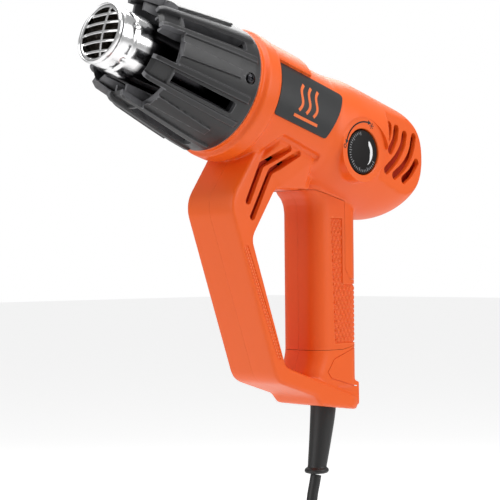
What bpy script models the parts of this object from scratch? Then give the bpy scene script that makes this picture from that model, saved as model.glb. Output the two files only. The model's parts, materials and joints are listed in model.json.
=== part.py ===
"""Hot-air gun with a closed-loop hand guard, built from its separate pieces.

Frame: metres, +Z up along the grip, origin at the centre of the grip. The outlet points to -X and
tilts up, +Y is the right-hand side of the tool. The barrel's own frame has its X along the barrel
axis, towards the rear, and its Z across it, upwards. Sizes below are in millimetres.
"""
import bpy
import bmesh
import math
from mathutils import Matrix, Vector

MM = 0.001
GAP = 0.3                      # clearance between pieces that touch
COLLECTION = "heat_gun"

# barrel
BARREL_TILT = 16.0             # degrees, outlet end up
BARREL_HEIGHT = 92.9           # barrel axis above the origin, on the grip's axis
BARREL_R = 40.7
WAIST_R = 37.6
COLLAR_R = 41.1
COLLAR_FRONT = -95.5           # along the barrel axis, as are all the other places on it
REAR_FACE = 74.0
WALL = 3.0
BARREL_SIDES = 40

# outlet and heater
OUTLET_R = 17.75
OUTLET_FRONT = -187.2
TUBE_R = 19.0
TUBE_REAR = -84.0
SHROUD_FRONT = -167.0
SHROUD_SLOTS = 6
COIL_R = 13.2
COIL_WIRE = 1.5
COIL_TURNS = 9

# handle and guard
GRIP_DEPTH = 20.0              # half, along X
GRIP_HALF = 18.0               # half, along Y
GRIP_CORNER = 11.0
GUARD_HALF = 20.4
GUARD_WALL = 2.8
FOOT_BOTTOM = -80.6
PANEL_DEPTH = 2.0

# controls
DIAL_Z = 83.5
DIAL_R = 13.9
DIAL_PAD_R = 19.0
DIAL_FACE = -38.5
SWITCH_Z = 22.0
SWITCH_TRAVEL = 4.5            # each way from the middle stop
FAN_R = 29.0
FAN_BLADES = 7
MOTOR_R = 14.0

# lead
LEAD_D = 7.0
LEAD_COIL_X = -13.0
LEAD_COIL_Z = -232.0
LEAD_COIL_OUT = 48.5           # outer radius of the tied coil
LEAD_COIL_IN = 33.5
LEAD_COIL_HALF = 14.3          # half its width: four turns side by side
TURN_SIDE = 3.58               # half the spacing of the turns, and how far the lead enters off centre
LEAD_BEND = 30.0               # radius of the bend by which the lead runs into the coil
LEAD_END_ANGLE = 58.0          # degrees from straight down where that bend meets the coil
TIE_ANGLE = -22.0              # degrees from the coil's top
PIN_SPACING = 19.0
PIN_LENGTH = 19.0

BARREL = Matrix.Translation((0, 0, BARREL_HEIGHT * MM)) @ Matrix.Rotation(math.radians(BARREL_TILT), 4, "Y")
WORLD = Matrix.Identity(4)

FINISHES = {                   # base colour, roughness, metallic
    "orange_shell": ((0.86, 0.13, 0.02), 0.38, 0.0),
    "orange_grip": ((0.82, 0.12, 0.02), 0.55, 0.0),
    "black_shroud": ((0.035, 0.035, 0.037), 0.45, 0.0),
    "black_plastic": ((0.02, 0.02, 0.021), 0.4, 0.0),
    "black_rubber": ((0.018, 0.018, 0.018), 0.7, 0.0),
    "badge_grey": ((0.05, 0.05, 0.052), 0.5, 0.0),
    "polished_steel": ((0.74, 0.74, 0.73), 0.16, 1.0),
    "zinc_steel": ((0.6, 0.6, 0.6), 0.32, 1.0),
    "mica": ((0.62, 0.55, 0.42), 0.6, 0.0),
    "heater_wire": ((0.35, 0.3, 0.26), 0.4, 1.0),
    "circuit_board": ((0.03, 0.2, 0.08), 0.5, 0.0),
    "aluminium": ((0.72, 0.73, 0.74), 0.35, 1.0),
    "nylon_white": ((0.7, 0.68, 0.62), 0.5, 0.0),
    "copper_wire": ((0.04, 0.08, 0.35), 0.5, 0.0),
}


def clear_scene():
    for item in list(bpy.data.objects):
        bpy.data.objects.remove(item, do_unlink=True)
    collection = bpy.data.collections.new(COLLECTION)
    bpy.context.scene.collection.children.link(collection)
    return collection


PARTS = clear_scene()


def finish(name):
    """The named material, made once."""
    material = bpy.data.materials.get(name)
    if material is None:
        colour, roughness, metallic = FINISHES[name]
        material = bpy.data.materials.new(name)
        material.use_nodes = True
        shader = material.node_tree.nodes["Principled BSDF"]
        shader.inputs["Base Color"].default_value = (*colour, 1)
        shader.inputs["Roughness"].default_value = roughness
        shader.inputs["Metallic"].default_value = metallic
    return material


# ---------------------------------------------------------------- shapes

def solid(name, bm, frame=WORLD):
    """An object from a bmesh drawn in millimetres."""
    bmesh.ops.scale(bm, vec=(MM, MM, MM), verts=bm.verts)
    bmesh.ops.recalc_face_normals(bm, faces=bm.faces)
    mesh = bpy.data.meshes.new(name)
    bm.to_mesh(mesh)
    bm.free()
    item = bpy.data.objects.new(name, mesh)
    item.matrix_world = frame
    PARTS.objects.link(item)
    return item


def box(name, low, high, frame=WORLD):
    bm = bmesh.new()
    bmesh.ops.create_cube(bm, size=1)
    size = [b - a for a, b in zip(low, high)]
    middle = [(a + b) / 2 for a, b in zip(low, high)]
    bmesh.ops.scale(bm, vec=size, verts=bm.verts)
    bmesh.ops.translate(bm, vec=middle, verts=bm.verts)
    return solid(name, bm, frame)


def rod(name, axis, centre, radius, start, end, sides=24, frame=WORLD):
    """A cylinder along X, Y or Z from start to end."""
    bm = bmesh.new()
    bmesh.ops.create_cone(bm, cap_ends=True, segments=sides, radius1=radius, radius2=radius,
                          depth=end - start)
    turn = {"X": Matrix.Rotation(math.pi / 2, 4, "Y"), "Y": Matrix.Rotation(-math.pi / 2, 4, "X"),
            "Z": Matrix.Identity(4)}[axis]
    bmesh.ops.transform(bm, matrix=turn, verts=bm.verts)
    index = "XYZ".index(axis)
    place = list(centre)
    place[index] = (start + end) / 2
    bmesh.ops.translate(bm, vec=place, verts=bm.verts)
    return solid(name, bm, frame)


def rounded(corners, arc_steps=4):
    """A closed outline in X and Z from (x, z, corner radius) points."""
    points = []
    count = len(corners)
    for i, (x, z, radius) in enumerate(corners):
        here = Vector((x, z))
        if radius == 0:
            points.append(here)
            continue
        before = (Vector(corners[i - 1][:2]) - here).normalized()
        after = (Vector(corners[(i + 1) % count][:2]) - here).normalized()
        half = before.angle(after) / 2
        reach = radius / math.tan(half)
        centre = here + (before + after).normalized() * radius / math.sin(half)
        first = here + before * reach - centre
        last = here + after * reach - centre
        sweep = first.angle_signed(last)
        for step in range(arc_steps + 1):
            turned_by = -sweep * step / arc_steps
            points.append(centre + Matrix.Rotation(turned_by, 2) @ first)
    return points


def prism(name, outline, start, end, frame=WORLD):
    """An outline in X and Z, extruded along Y."""
    bm = bmesh.new()
    face = bm.faces.new([bm.verts.new((p[0], start, p[1])) for p in outline])
    grown = bmesh.ops.extrude_face_region(bm, geom=[face])
    moved = [v for v in grown["geom"] if isinstance(v, bmesh.types.BMVert)]
    bmesh.ops.translate(bm, vec=(0, end - start, 0), verts=moved)
    return solid(name, bm, frame)


def hull(name, points, frame=WORLD):
    bm = bmesh.new()
    for point in points:
        bm.verts.new(point)
    made = bmesh.ops.convex_hull(bm, input=bm.verts)
    bmesh.ops.delete(bm, geom=[v for v in made["geom_interior"] if isinstance(v, bmesh.types.BMVert)],
                     context="VERTS")
    return solid(name, bm, frame)


def loft(name, rings, frame=WORLD):
    """A closed skin through rings of equal length, with flat ends."""
    bm = bmesh.new()
    made = [[bm.verts.new(p) for p in ring] for ring in rings]
    for low, high in zip(made, made[1:]):
        for i in range(len(low)):
            j = (i + 1) % len(low)
            bm.faces.new((low[i], low[j], high[j], high[i]))
    bm.faces.new(made[0])
    bm.faces.new(reversed(made[-1]))
    return solid(name, bm, frame)


def turned(name, profile, sides=32, frame=BARREL):
    """A closed profile of (distance along X, radius), turned about the X axis."""
    bm = bmesh.new()
    ring = [bm.verts.new((s * MM, 0, r * MM)) for s, r in profile]
    on_axis = profile[0][1] == 0 and profile[-1][1] == 0
    for i in range(1 if on_axis else 0, len(ring)):
        bm.edges.new((ring[i - 1], ring[i]))
    mesh = bpy.data.meshes.new(name)
    bm.to_mesh(mesh)
    bm.free()
    item = bpy.data.objects.new(name, mesh)
    PARTS.objects.link(item)
    screw = item.modifiers.new("turn", "SCREW")
    screw.axis = "X"
    screw.steps = sides
    screw.render_steps = sides
    screw.use_merge_vertices = True
    screw.merge_threshold = 0.00001
    settle(item)
    bm = bmesh.new()
    bm.from_mesh(item.data)
    bmesh.ops.recalc_face_normals(bm, faces=bm.faces)
    bm.to_mesh(item.data)
    bm.free()
    item.matrix_world = frame
    return item


def settle(item):
    """Replaces an object's mesh with its evaluated one and drops the modifiers."""
    bpy.context.view_layer.update()
    graph = bpy.context.evaluated_depsgraph_get()
    mesh = bpy.data.meshes.new_from_object(item.evaluated_get(graph))
    item.modifiers.clear()
    item.data = mesh


def combine(item, operation, tools):
    """Boolean of the item with each tool in turn; the tools are used up."""
    for tool in tools:
        step = item.modifiers.new("combine", "BOOLEAN")
        step.operation = operation
        step.solver = "EXACT"
        step.object = tool
        settle(item)
        bpy.data.objects.remove(tool, do_unlink=True)
    return item


def join(item, *tools):
    return combine(item, "UNION", tools)


def cut(item, *tools):
    return combine(item, "DIFFERENCE", tools)


def keep_inside(item, tool):
    return combine(item, "INTERSECT", [tool])


def copy(item, name):
    twin = bpy.data.objects.new(name, item.data.copy())
    twin.matrix_world = item.matrix_world
    PARTS.objects.link(twin)
    return twin


def tidy(item):
    """Merges the slivers that a Boolean can leave."""
    bm = bmesh.new()
    bm.from_mesh(item.data)
    bmesh.ops.remove_doubles(bm, verts=bm.verts, dist=0.00002)
    bmesh.ops.dissolve_degenerate(bm, edges=bm.edges, dist=0.00001)
    bm.to_mesh(item.data)
    bm.free()
    return item


def done(item, material, smooth=35):
    """Gives a finished piece its material and shading."""
    item.data.materials.clear()
    item.data.materials.append(finish(material))
    item.data.shade_smooth()
    item.data.set_sharp_from_angle(angle=math.radians(smooth))
    return item


def wire(name, points, diameter, material, frame=WORLD):
    """A round wire or lead through the points."""
    data = bpy.data.curves.new(name, "CURVE")
    data.dimensions = "3D"
    data.bevel_depth = diameter / 2 * MM
    data.bevel_resolution = 2
    data.use_fill_caps = True
    spline = data.splines.new("POLY")
    spline.points.add(len(points) - 1)
    for spot, point in zip(spline.points, points):
        spot.co = (*(c * MM for c in point), 1)
    item = bpy.data.objects.new(name, data)
    item.matrix_world = frame
    PARTS.objects.link(item)
    data.materials.append(finish(material))
    return item


def smooth_route(points, steps):
    """Points on a Catmull-Rom curve through the given ones."""
    ends = [points[0] + (points[0] - points[1])] + points + [points[-1] + (points[-1] - points[-2])]
    route = []
    for a, b, c, d in zip(ends, ends[1:], ends[2:], ends[3:]):
        for step in range(steps):
            t = step / steps
            route.append(0.5 * (2 * b + (c - a) * t + (2 * a - 5 * b + 4 * c - d) * t ** 2
                                + (3 * b - a - 3 * c + d) * t ** 3))
    route.append(points[-1])
    return route


# ---------------------------------------------------------------- housing

def fading(s, start, end, power):
    """1 up to start, then down a rounded nose that would close at end."""
    if s <= start:
        return 1.0
    return (1 - ((s - start) / (end - start)) ** power) ** (1 / power)


def barrel_radius(s):
    """Outer radius before the rear rounding."""
    stations = [(COLLAR_FRONT, 38.8), (-94, 40.2), (-92, COLLAR_R), (-80, COLLAR_R),
                (-77.5, WAIST_R), (-24, WAIST_R), (-17, 38.3), (-10, 39.7), (-4, 40.5), (2, BARREL_R)]
    for (s0, r0), (s1, r1) in zip(stations, stations[1:]):
        if s <= s1:
            return r0 + (r1 - r0) * (s - s0) / (s1 - s0)
    return BARREL_R


def barrel_rings(stations, inset, rear_end, sides=BARREL_SIDES):
    """Rings of the barrel: round in front, lower and fuller behind."""
    rings = []
    for s in stations:
        radius = barrel_radius(s) - inset
        top = radius * fading(s, 46, rear_end, 2.5)
        under = radius * fading(s, 32, rear_end, 2.2)
        ring = []
        for i in range(sides):
            angle = 2 * math.pi * i / sides
            up = math.cos(angle)
            ring.append((s, top * math.sin(angle), up * (top if up > 0 else under)))
        rings.append(ring)
    return rings


def side_plane(name, side, inset):
    """What the flat vent panel takes off one side of the barrel; side is -1 or 1."""
    def depth(s, h):
        return side * (34.0 - 0.1 * h - 0.085 * (s - 23) - inset)
    front = 23 + inset
    points = [(s, depth(s, h), h) for s in (front, 90) for h in (-45, 45)]
    points += [(s, side * 60, h) for s in (front, 90) for h in (-45, 45)]
    return hull(name, points, BARREL)


GUARD_OUTLINE = [              # x, z, corner radius
    (-60.0, 96.0, 0), (-67.0, 96.0, 0), (-98.5, 50.5, 18), (-59.3, -58.4, 13), (-25.5, -69.0, 3),
    (-20.0, -75.2, 3), (20.0, FOOT_BOTTOM, 2), (20.0, -73.6, 2), (-51.5, -49.2, 6), (-79.6, 29.2, 8),
    (-59.5, 59.2, 5), (-30.0, 59.2, 0), (-20.0, 96.0, 0)]
GUARD_HOLLOW = [
    (-62.0, 92.0, 0), (-66.0, 92.0, 0), (-95.3, 50.0, 15), (-57.6, -55.0, 9), (-27.0, -65.4, 0),
    (-27.0, -61.0, 0), (-52.9, -52.6, 5), (-83.0, 30.0, 9), (-58.5, 66.5, 0), (-45.0, 66.5, 0),
    (-45.0, 80.0, 0)]


def grip_rings(inset, low, high, arc_steps=4):
    """The grip: a rounded rectangle that spreads forward at both ends."""
    stations = [(low, -25.5), (-57, -25.5), (-52, -23.5), (-46, -21.0), (-40, -20.0), (46, -20.0),
                (51, -20.8), (55, -22.8), (58, -26.0), (high, -29.0)]
    rings = []
    for z, front in stations:
        corners = [(front + inset, -GRIP_HALF + inset, GRIP_CORNER - inset),
                   (front + inset, GRIP_HALF - inset, GRIP_CORNER - inset),
                   (GRIP_DEPTH - inset, GRIP_HALF - inset, GRIP_CORNER - inset),
                   (GRIP_DEPTH - inset, -GRIP_HALF + inset, GRIP_CORNER - inset)]
        rings.append([(p[0], p[1], z) for p in rounded(corners, arc_steps)])
    return rings


def panel_outline(shrink):
    """Side view of the grip panel, each edge pulled in by shrink."""
    return rounded([(-40, 54 - shrink, 0), (-21, 54 - shrink, 0), (5 - shrink, 49 - shrink, 3),
                    (5 - shrink, 9 - shrink, 3), (9, 2 - shrink, 3), (30, 1 - shrink, 0),
                    (30, -36 + shrink, 0), (2, -41 + shrink, 3), (-40, -41 + shrink, 0)])


VENTS = [                      # slots of the flat panel in the barrel's frame: (s, h) along each
    [(28.5, 18.5), (29.3, 14.5), (28.8, 10.0)],
    [(37.6, 19.0), (37.2, 11.0), (33.6, 2.8)],
    [(47.5, 20.0), (46.4, 9.5), (40.5, -1.0), (31.6, -11.4)],
    [(57.8, 20.3), (56.4, 9.0), (50.5, -2.0), (41.0, -12.0)],
    [(63.6, 4.4), (58.5, -4.2), (51.4, -11.4)]]
VENT_WIDTH = 3.9
GUARD_SLOTS = [                # two angled slots in the guard's neck: (x, z) along each
    [(-83.5, 51.3), (-72.3, 73.2), (-55.5, 83.4)],
    [(-80.0, 42.0), (-64.6, 70.0), (-47.5, 80.6)]]
GUARD_SLOT_WIDTH = 4.0


def slot_outline(path, width):
    """A slot of even width with round ends along a path of flat points."""
    points = [Vector(p) for p in path]
    left, right = [], []
    for i, point in enumerate(points):
        before = (point - points[i - 1]).normalized() if i else None
        after = (points[i + 1] - point).normalized() if i < len(points) - 1 else None
        along = ((before or after) + (after or before)).normalized()
        across = Vector((-along.y, along.x))
        lean = along.dot(after or before)
        left.append(point + across * width / 2 / lean)
        right.append(point - across * width / 2 / lean)
    def cap(centre, start):
        arm = start - centre
        return [centre + Matrix.Rotation(math.pi * k / 4, 2) @ arm for k in range(1, 4)]
    return left + cap(points[-1], left[-1]) + right[::-1] + cap(points[0], right[0])


HOUSING_SCREWS = {             # x, z, boss radius, reach of the boss, seat of the head
    "housing_screw_guard_upper": (-85.5, 36.0, 3.9, 18.6, 16.0),
    "housing_screw_guard_lower": (-55.2, -53.0, 3.9, 18.6, 16.0),
    "housing_screw_grip_upper": (12.0, 41.0, 3.9, 15.2, 13.5),
    "housing_screw_grip_lower": (-13.0, -50.0, 3.9, 15.2, 13.5),
    "housing_screw_rear_upper": (53.5, 104.0, 4.2, 28.6, 24.0),
    "housing_screw_rear_lower": (47.0, 56.5, 4.2, 25.5, 21.0)}
SCREW_HEAD_R = 2.8
CLAMP_POSTS = (-4.5, 10.5)     # x of the two posts that the cord clamp screws into
CLAMP_Z = -47.0


def outer_body():
    """The whole housing as one solid, both halves together."""
    front = [COLLAR_FRONT, -94, -92, -80, -77.5, -24, -17, -10, -4, 2]
    rear = [34, 43, 50, 56, 61, 65, 69, 72, REAR_FACE]
    body = loft("body", barrel_rings(front + rear, 0, 77), BARREL)
    ledge = rod("ledge", "X", (0, 0, 0), 40.4, -79, -48, 48, BARREL)
    keep_inside(ledge, box("ledge_top", (-90, -40, 22.5), (-40, 40, 45), BARREL))
    join(body, ledge)
    cut(body, side_plane("left_flat", -1, 0), side_plane("right_flat", 1, 0))
    guard = prism("guard", rounded(GUARD_OUTLINE), -GUARD_HALF, GUARD_HALF)
    plan = [(-130, -GUARD_HALF, 0), (-130, GUARD_HALF, 0), (20, GUARD_HALF, 12), (20, -GUARD_HALF, 12)]
    keep_inside(guard, loft("plan", [[(p[0], p[1], z) for p in rounded(plan)] for z in (-90, 110)]))
    wedge = []
    for side in (-1, 1):
        wedge += [(-64, side * 30.6, -19.5), (-29, side * 30.6, -20.5), (-68, side * GUARD_HALF, -36.5),
                  (-27, side * GUARD_HALF, -42.5), (-44, side * GUARD_HALF, -46), (-60, side * 15, 0),
                  (-30, side * 15, 0)]
    boss = hull("boss", wedge, BARREL)
    grip = loft("grip", grip_rings(0, -64, 62))
    pad = rod("pad", "Y", (0, 0, DIAL_Z), DIAL_PAD_R, DIAL_FACE, -20, 36)
    join(body, guard, boss, grip, pad)
    cut(body, rod("pad_flat", "Y", (0, 0, DIAL_Z), DIAL_PAD_R, -60, DIAL_FACE, 36))
    return body


def cavity():
    """The space inside both halves."""
    stations = [-97, -24, -10, 2, 34, 44, 52, 58, 63, 67, 71]
    space = loft("space", barrel_rings(stations, WALL + 0.2, 73.5, 24), BARREL)
    cut(space, side_plane("left_wall", -1, WALL), side_plane("right_wall", 1, WALL))
    front = rod("front_space", "X", (0, 0, 0), 34.4, -99, -70, 36, BARREL)
    grip = loft("grip_space", grip_rings(PANEL_DEPTH + GAP + 1.7, -62, 61, 2))
    guard = prism("guard_space", rounded(GUARD_HOLLOW, 3), -GUARD_HALF + GUARD_WALL,
                  GUARD_HALF - GUARD_WALL)
    join(space, front, grip, guard)
    return space


def openings():
    """Cutters for what opens through the housing's wall."""
    tools = []
    for i, path in enumerate(VENTS):
        for side in (-1, 1):
            ends = sorted((side * 22, side * 45))
            tools.append(prism(f"vent_{i}", slot_outline(path, VENT_WIDTH), *ends, BARREL))
    for i, path in enumerate(GUARD_SLOTS):
        tools.append(prism(f"guard_slot_{i}", slot_outline(path, GUARD_SLOT_WIDTH), -34, 34))
    tools.append(rod("relief_hole", "Z", (2.4, 0, 0), 8.6, -90, -60, 24))
    tools.append(box("switch_slot", (14, -3.0, SWITCH_Z - 3 - SWITCH_TRAVEL - 0.6),
                     (26, 3.0, SWITCH_Z + 3 + SWITCH_TRAVEL + 0.6)))
    return tools


def housing_halves():
    shell = outer_body()
    cut(shell, cavity())
    cut(shell, *openings())
    for side in (-1, 1):
        recess = loft("recess", grip_rings(-2, -64, 62))
        keep_inside(recess, prism("recess_edge", panel_outline(0), *sorted((side * 40, 0))))
        cut(recess, loft("recess_floor", grip_rings(PANEL_DEPTH + GAP, -66, 64)))
        cut(shell, recess)
    right = copy(shell, "housing_right")
    left = shell
    left.name = "housing_left"
    far = 200
    keep_inside(left, box("left_side", (-far, -far, -far), (far, -GAP / 2, far)))
    keep_inside(right, box("right_side", (-far, GAP / 2, -far), (far, far, far)))

    cup = rod("dial_cup", "Y", (0, 0, DIAL_Z), 17, DIAL_FACE + 0.4, -30.8, 24)
    join(left, cup)
    cut(left, rod("dial_recess", "Y", (0, 0, DIAL_Z), DIAL_R + 0.7, -60, -32.5, 32),
        rod("dial_bore", "Y", (0, 0, DIAL_Z), 3.4, -40, -20, 16))
    for x, z, radius, reach, seat in HOUSING_SCREWS.values():
        join(left, rod("boss", "Y", (x, 0, z), radius, -reach, -GAP / 2, 12))
        join(right, rod("boss", "Y", (x, 0, z), radius, GAP / 2, reach, 12))
        cut(left, rod("pilot", "Y", (x, 0, z), 1.7, -12, 5, 8))
        cut(right, rod("clearance", "Y", (x, 0, z), 1.8, -5, seat + 1, 8),
            rod("counterbore", "Y", (x, 0, z), SCREW_HEAD_R + GAP, seat, 60, 12))
    for x in CLAMP_POSTS:
        join(left, rod("post", "Y", (x, 0, CLAMP_Z), 2.7, -14.6, 3.5, 12))
        cut(left, rod("pilot", "Y", (x, 0, CLAMP_Z), 1.6, -6, 8, 12))
    for half in (left, right):
        done(tidy(half), "orange_shell")


# ---------------------------------------------------------------- trim on the housing

def grip_panels():
    for side, name in ((-1, "grip_panel_left"), (1, "grip_panel_right")):
        panel = loft(name, grip_rings(0, -62, 60))
        keep_inside(panel, prism("edge", panel_outline(GAP), *sorted((side * 40, side * GAP / 2))))
        cut(panel, loft("back", grip_rings(PANEL_DEPTH, -66, 64)))
        done(tidy(panel), "orange_grip")


BADGE_OUTLINE = [              # along and across the barrel, corner radius
    (-76.0, 21.7, 1.5), (-24.5, 21.2, 1.5), (-36.6, -11.8, 1.5), (-77.0, -11.8, 1.5)]


def badges():
    for side, name in ((-1, "badge_left"), (1, "badge_right")):
        plate = turned(name, [(-80, WAIST_R + 0.9), (-10, WAIST_R + 0.9), (-10, WAIST_R + GAP),
                              (-80, WAIST_R + GAP)], 96)
        edge = prism("edge", rounded(BADGE_OUTLINE), *sorted((side * 10, side * 60)), BARREL)
        keep_inside(plate, edge)
        done(plate, "badge_grey")


def screw(name, frame, seat, length, head=SCREW_HEAD_R, shank=1.3):
    """A pan-head screw along the frame's X, its head just clear of the seat."""
    under = seat + GAP
    profile = [(under + 2.2, 0), (under + 2.2, head - 0.6), (under + 1.5, head), (under, head),
               (under, shank), (seat - length, shank), (seat - length - 1, 0)]
    return done(turned(name, profile, 10, frame), "zinc_steel")


def across(x, z, side=1):
    """A frame whose X points to +Y or -Y, through a place in the side view."""
    turn = Matrix.Rotation(side * math.pi / 2, 4, "Z")
    return Matrix.Translation((x * MM, 0, z * MM)) @ turn


def housing_screws():
    for name, (x, z, *_, seat) in HOUSING_SCREWS.items():
        screw(name, across(x, z), seat, seat + 9)


# ---------------------------------------------------------------- outlet and heater

def shroud():
    outside = [(-95.9, 39.2), (-100, 39.2), (-112, 38.2), (-123, 36.8), (-138, 34.7), (-152, 32.7),
               (-165.5, 30.8), (SHROUD_FRONT, 29.6)]
    inside = [(SHROUD_FRONT, 27.2), (-152, 30.0), (-138, 32.0), (-123, 34.1), (-112, 35.5),
              (-107.6, 36.4), (-95.9, 36.4)]
    cage = turned("heat_shroud", outside + inside, 36)
    for i in range(SHROUD_SLOTS):
        angle = math.radians(30 + 360 / SHROUD_SLOTS * i)
        frame = BARREL @ Matrix.Rotation(angle, 4, "X")
        cut(cage, box("slot", (-157, -45, -3.5), (-107, -20, 3.5), frame))
    for side in (-1, 1):
        cut(cage, rod("hole", "Y", (-103, 0, 0), 1.9, *sorted((side * 25, side * 50)), 12, BARREL))
    done(tidy(cage), "black_shroud")

    mount = turned("shroud_mount", [(-96.2, 36.0), (-107, 36.0), (-107, 33.4), (-98, 31.6), (-87, 31.6),
                                    (-87, 34.0), (-96.2, 34.0)], 28)
    for side in (-1, 1):
        cut(mount, rod("hole", "Y", (-103, 0, 0), 1.6, *sorted((side * 25, side * 50)), 12, BARREL))
    done(tidy(mount), "black_plastic")
    for side, name in ((-1, "shroud_screw_left"), (1, "shroud_screw_right")):
        frame = BARREL @ Matrix.Translation((-103 * MM, 0, 0)) @ Matrix.Rotation(side * math.pi / 2, 4, "Z")
        screw(name, frame, 38.9, 6.5)


def outlet():
    outside = [(TUBE_REAR + 1.4, 27.0), (TUBE_REAR, 27.0), (TUBE_REAR, TUBE_R), (-152, TUBE_R),
               (-165, 18.9), (-168, 18.2), (-179, 17.9), (-184, 18.3), (OUTLET_FRONT + 0.6, 18.1),
               (OUTLET_FRONT, OUTLET_R)]
    inside = [(OUTLET_FRONT, 17.0), (-183, 17.1), (-168, 17.4), (-165, 18.1), (-152, 18.2),
              (TUBE_REAR + 1.4, 18.2)]
    done(turned("nozzle_tube", outside + inside, 28), "polished_steel")

    front, back = OUTLET_FRONT + 0.4, OUTLET_FRONT + 2.2
    grille = turned("outlet_grille", [(back, 16.7), (front, 16.7), (front, 15.2), (back, 15.2)], 28)
    bars = [box("upright", (front + 0.1, -4.6, -15.8), (back - 0.1, -3.0, 15.8), BARREL)]
    for i in range(5):
        height = (i - 2) * 5.4
        half = math.sqrt(15.9 ** 2 - (abs(height) + 0.7) ** 2)
        bars.append(box("rung", (front + 0.2, -half, height - 0.7), (back - 0.2, half, height + 0.7), BARREL))
    join(grille, *bars)
    done(tidy(grille), "polished_steel")


def heater():
    done(turned("mica_sleeve", [(-96, 17.0), (-160, 17.0), (-160, 16.3), (-96, 16.3)][::-1], 24), "mica")
    core = box("mica_core", (-158, -0.5, -11.0), (-100, 0.5, 11.0), BARREL)
    join(core, box("cross", (-157.5, -11.0, -0.5), (-100.5, 11.0, 0.5), BARREL))
    done(core, "mica")
    steps = 9
    turns = []
    for i in range(COIL_TURNS * steps + 1):
        angle = 2 * math.pi * i / steps
        turns.append((-155 + 51 * i / (COIL_TURNS * steps), COIL_R * math.cos(angle), COIL_R * math.sin(angle)))
    wire("heating_coil", turns, COIL_WIRE, "heater_wire", BARREL)
    holder = turned("element_holder", [(-82.2, 33.9), (-82.2, 14.0), (-79.2, 14.0), (-79.2, 33.9)], 28)
    done(holder, "mica")
    cutout = rod("thermal_cutout", "X", (0, 0, 27.6), 4.5, -78.9, -74.5, 12, BARREL)
    done(cutout, "nylon_white")


# ---------------------------------------------------------------- air and drive

def blower():
    duct = [(-78.9, 18.5), (-66, 24.0), (-58, 33.8), (-30, 33.8), (-30, 31.4), (-57, 31.4), (-65, 22.0),
            (-76, 16.2), (-78.9, 16.2)]
    done(turned("air_duct", duct, 28), "black_plastic")

    hub = turned("fan_impeller", [(-48, 0), (-49, 5), (-46, 8.2), (-33, 8.2), (-33, 1.5), (-45, 1.5),
                                  (-45, 0)], 24)
    for i in range(FAN_BLADES):
        frame = BARREL @ Matrix.Rotation(2 * math.pi * i / FAN_BLADES, 4, "X")
        rings = [[(-45, -4.8, r), (-35, 3.6, r), (-35, 4.8, r), (-45, -3.6, r)] for r in (6.5, FAN_R)]
        join(hub, loft("blade", rings, frame))
    done(tidy(hub), "black_plastic")
    shaft = rod("motor_shaft", "X", (0, 0, 0), 1.15, -44.6, -23.3, 12, BARREL)
    done(shaft, "polished_steel")

    can = [(-20, 0), (-20, 3.2), (-22, 3.2), (-22, 12.4), (-20.5, MOTOR_R), (9, MOTOR_R), (9, 0)]
    done(turned("motor_can", can, 24), "zinc_steel")
    bush = [(-23.2, 2.9), (-23.2, 1.5), (-20.3, 1.5), (-20.3, 2.9)]
    done(turned("motor_bush", bush, 16), "copper_wire")
    cap = [(9.3, 0), (9.3, 13.6), (12, 13.2), (12, 0)]
    done(turned("motor_end_cap", cap, 24), "nylon_white")
    done(rod("rectifier_board", "X", (0, 0, 0), 12.5, 12.3, 13.9, 24, BARREL), "circuit_board")

    ring = turned("motor_mount", [(-27, 33.7), (-27, 31.2), (-23, 31.2), (-23, 33.7)], 28)
    inner = turned("sleeve", [(-27, 16.4), (-27, MOTOR_R + GAP), (-10, MOTOR_R + GAP), (-10, 16.4)], 24)
    arms = []
    for i in range(4):
        frame = BARREL @ Matrix.Rotation(math.pi / 4 + math.pi / 2 * i, 4, "X")
        arms.append(box("arm", (-26.5, -2, 15.4), (-23.5, 2, 32), frame))
    join(inner, *arms)
    join(ring, inner)
    done(tidy(ring), "black_plastic")


# ---------------------------------------------------------------- controls

def controls():
    board = box("control_board", (-6, -25.6, 70), (17, -24.0, 98))
    done(board, "circuit_board")
    body = rod("dial_potentiometer", "Y", (0, 0, DIAL_Z), 8.0, -30.4, -25.9, 24)
    cut(body, rod("bore", "Y", (0, 0, DIAL_Z), 3.3, -32, -29, 16))
    done(body, "zinc_steel")
    dial_frame = across(0, DIAL_Z, -1)
    shaft = rod("dial_shaft", "X", (0, 0, 0), 2.9, 29.3, 34.6, 16, dial_frame)
    done(shaft, "nylon_white")
    bore = 3.2
    profile = [(34.9, 0), (34.9, bore), (32.9, bore), (32.9, DIAL_R), (37.6, DIAL_R - 0.2),
               (38.2, DIAL_R - 0.8), (38.2, 0)]
    dial = turned("temperature_dial", profile, 36, dial_frame)
    done(dial, "black_plastic")
    triac = box("triac_heat_sink", (2, -23.7, 74), (13, -20.0, 92))
    done(triac, "aluminium")

    switch = box("mains_switch", (1.0, -6.0, SWITCH_Z - 13), (14.0, 6.0, SWITCH_Z + 13))
    done(switch, "black_plastic")
    slide = Matrix.Translation((GRIP_DEPTH * MM, 0, SWITCH_Z * MM))
    slider = box("switch_slider", (0.4, -5.5, -11), (2.8, 5.5, 11), slide)
    edge = slider.modifiers.new("rounded", "BEVEL")
    edge.width = 1.0 * MM
    edge.segments = 2
    edge.limit_method = "ANGLE"
    settle(slider)
    join(slider, box("stem", (-5.7, -2.6, -3), (0.9, 2.6, 3), slide))
    done(slider, "black_plastic")
    capacitor = box("noise_capacitor", (-14, -4.5, -30), (1, 4.5, -14))
    done(capacitor, "badge_grey")


# ---------------------------------------------------------------- lead

def relief_lean(z):
    """How far the strain relief has swung forward at a height below the foot."""
    below = max(0.0, -80.0 - z)
    return 2.4 - 6.2 * (below / 37) ** 1.15


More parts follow.
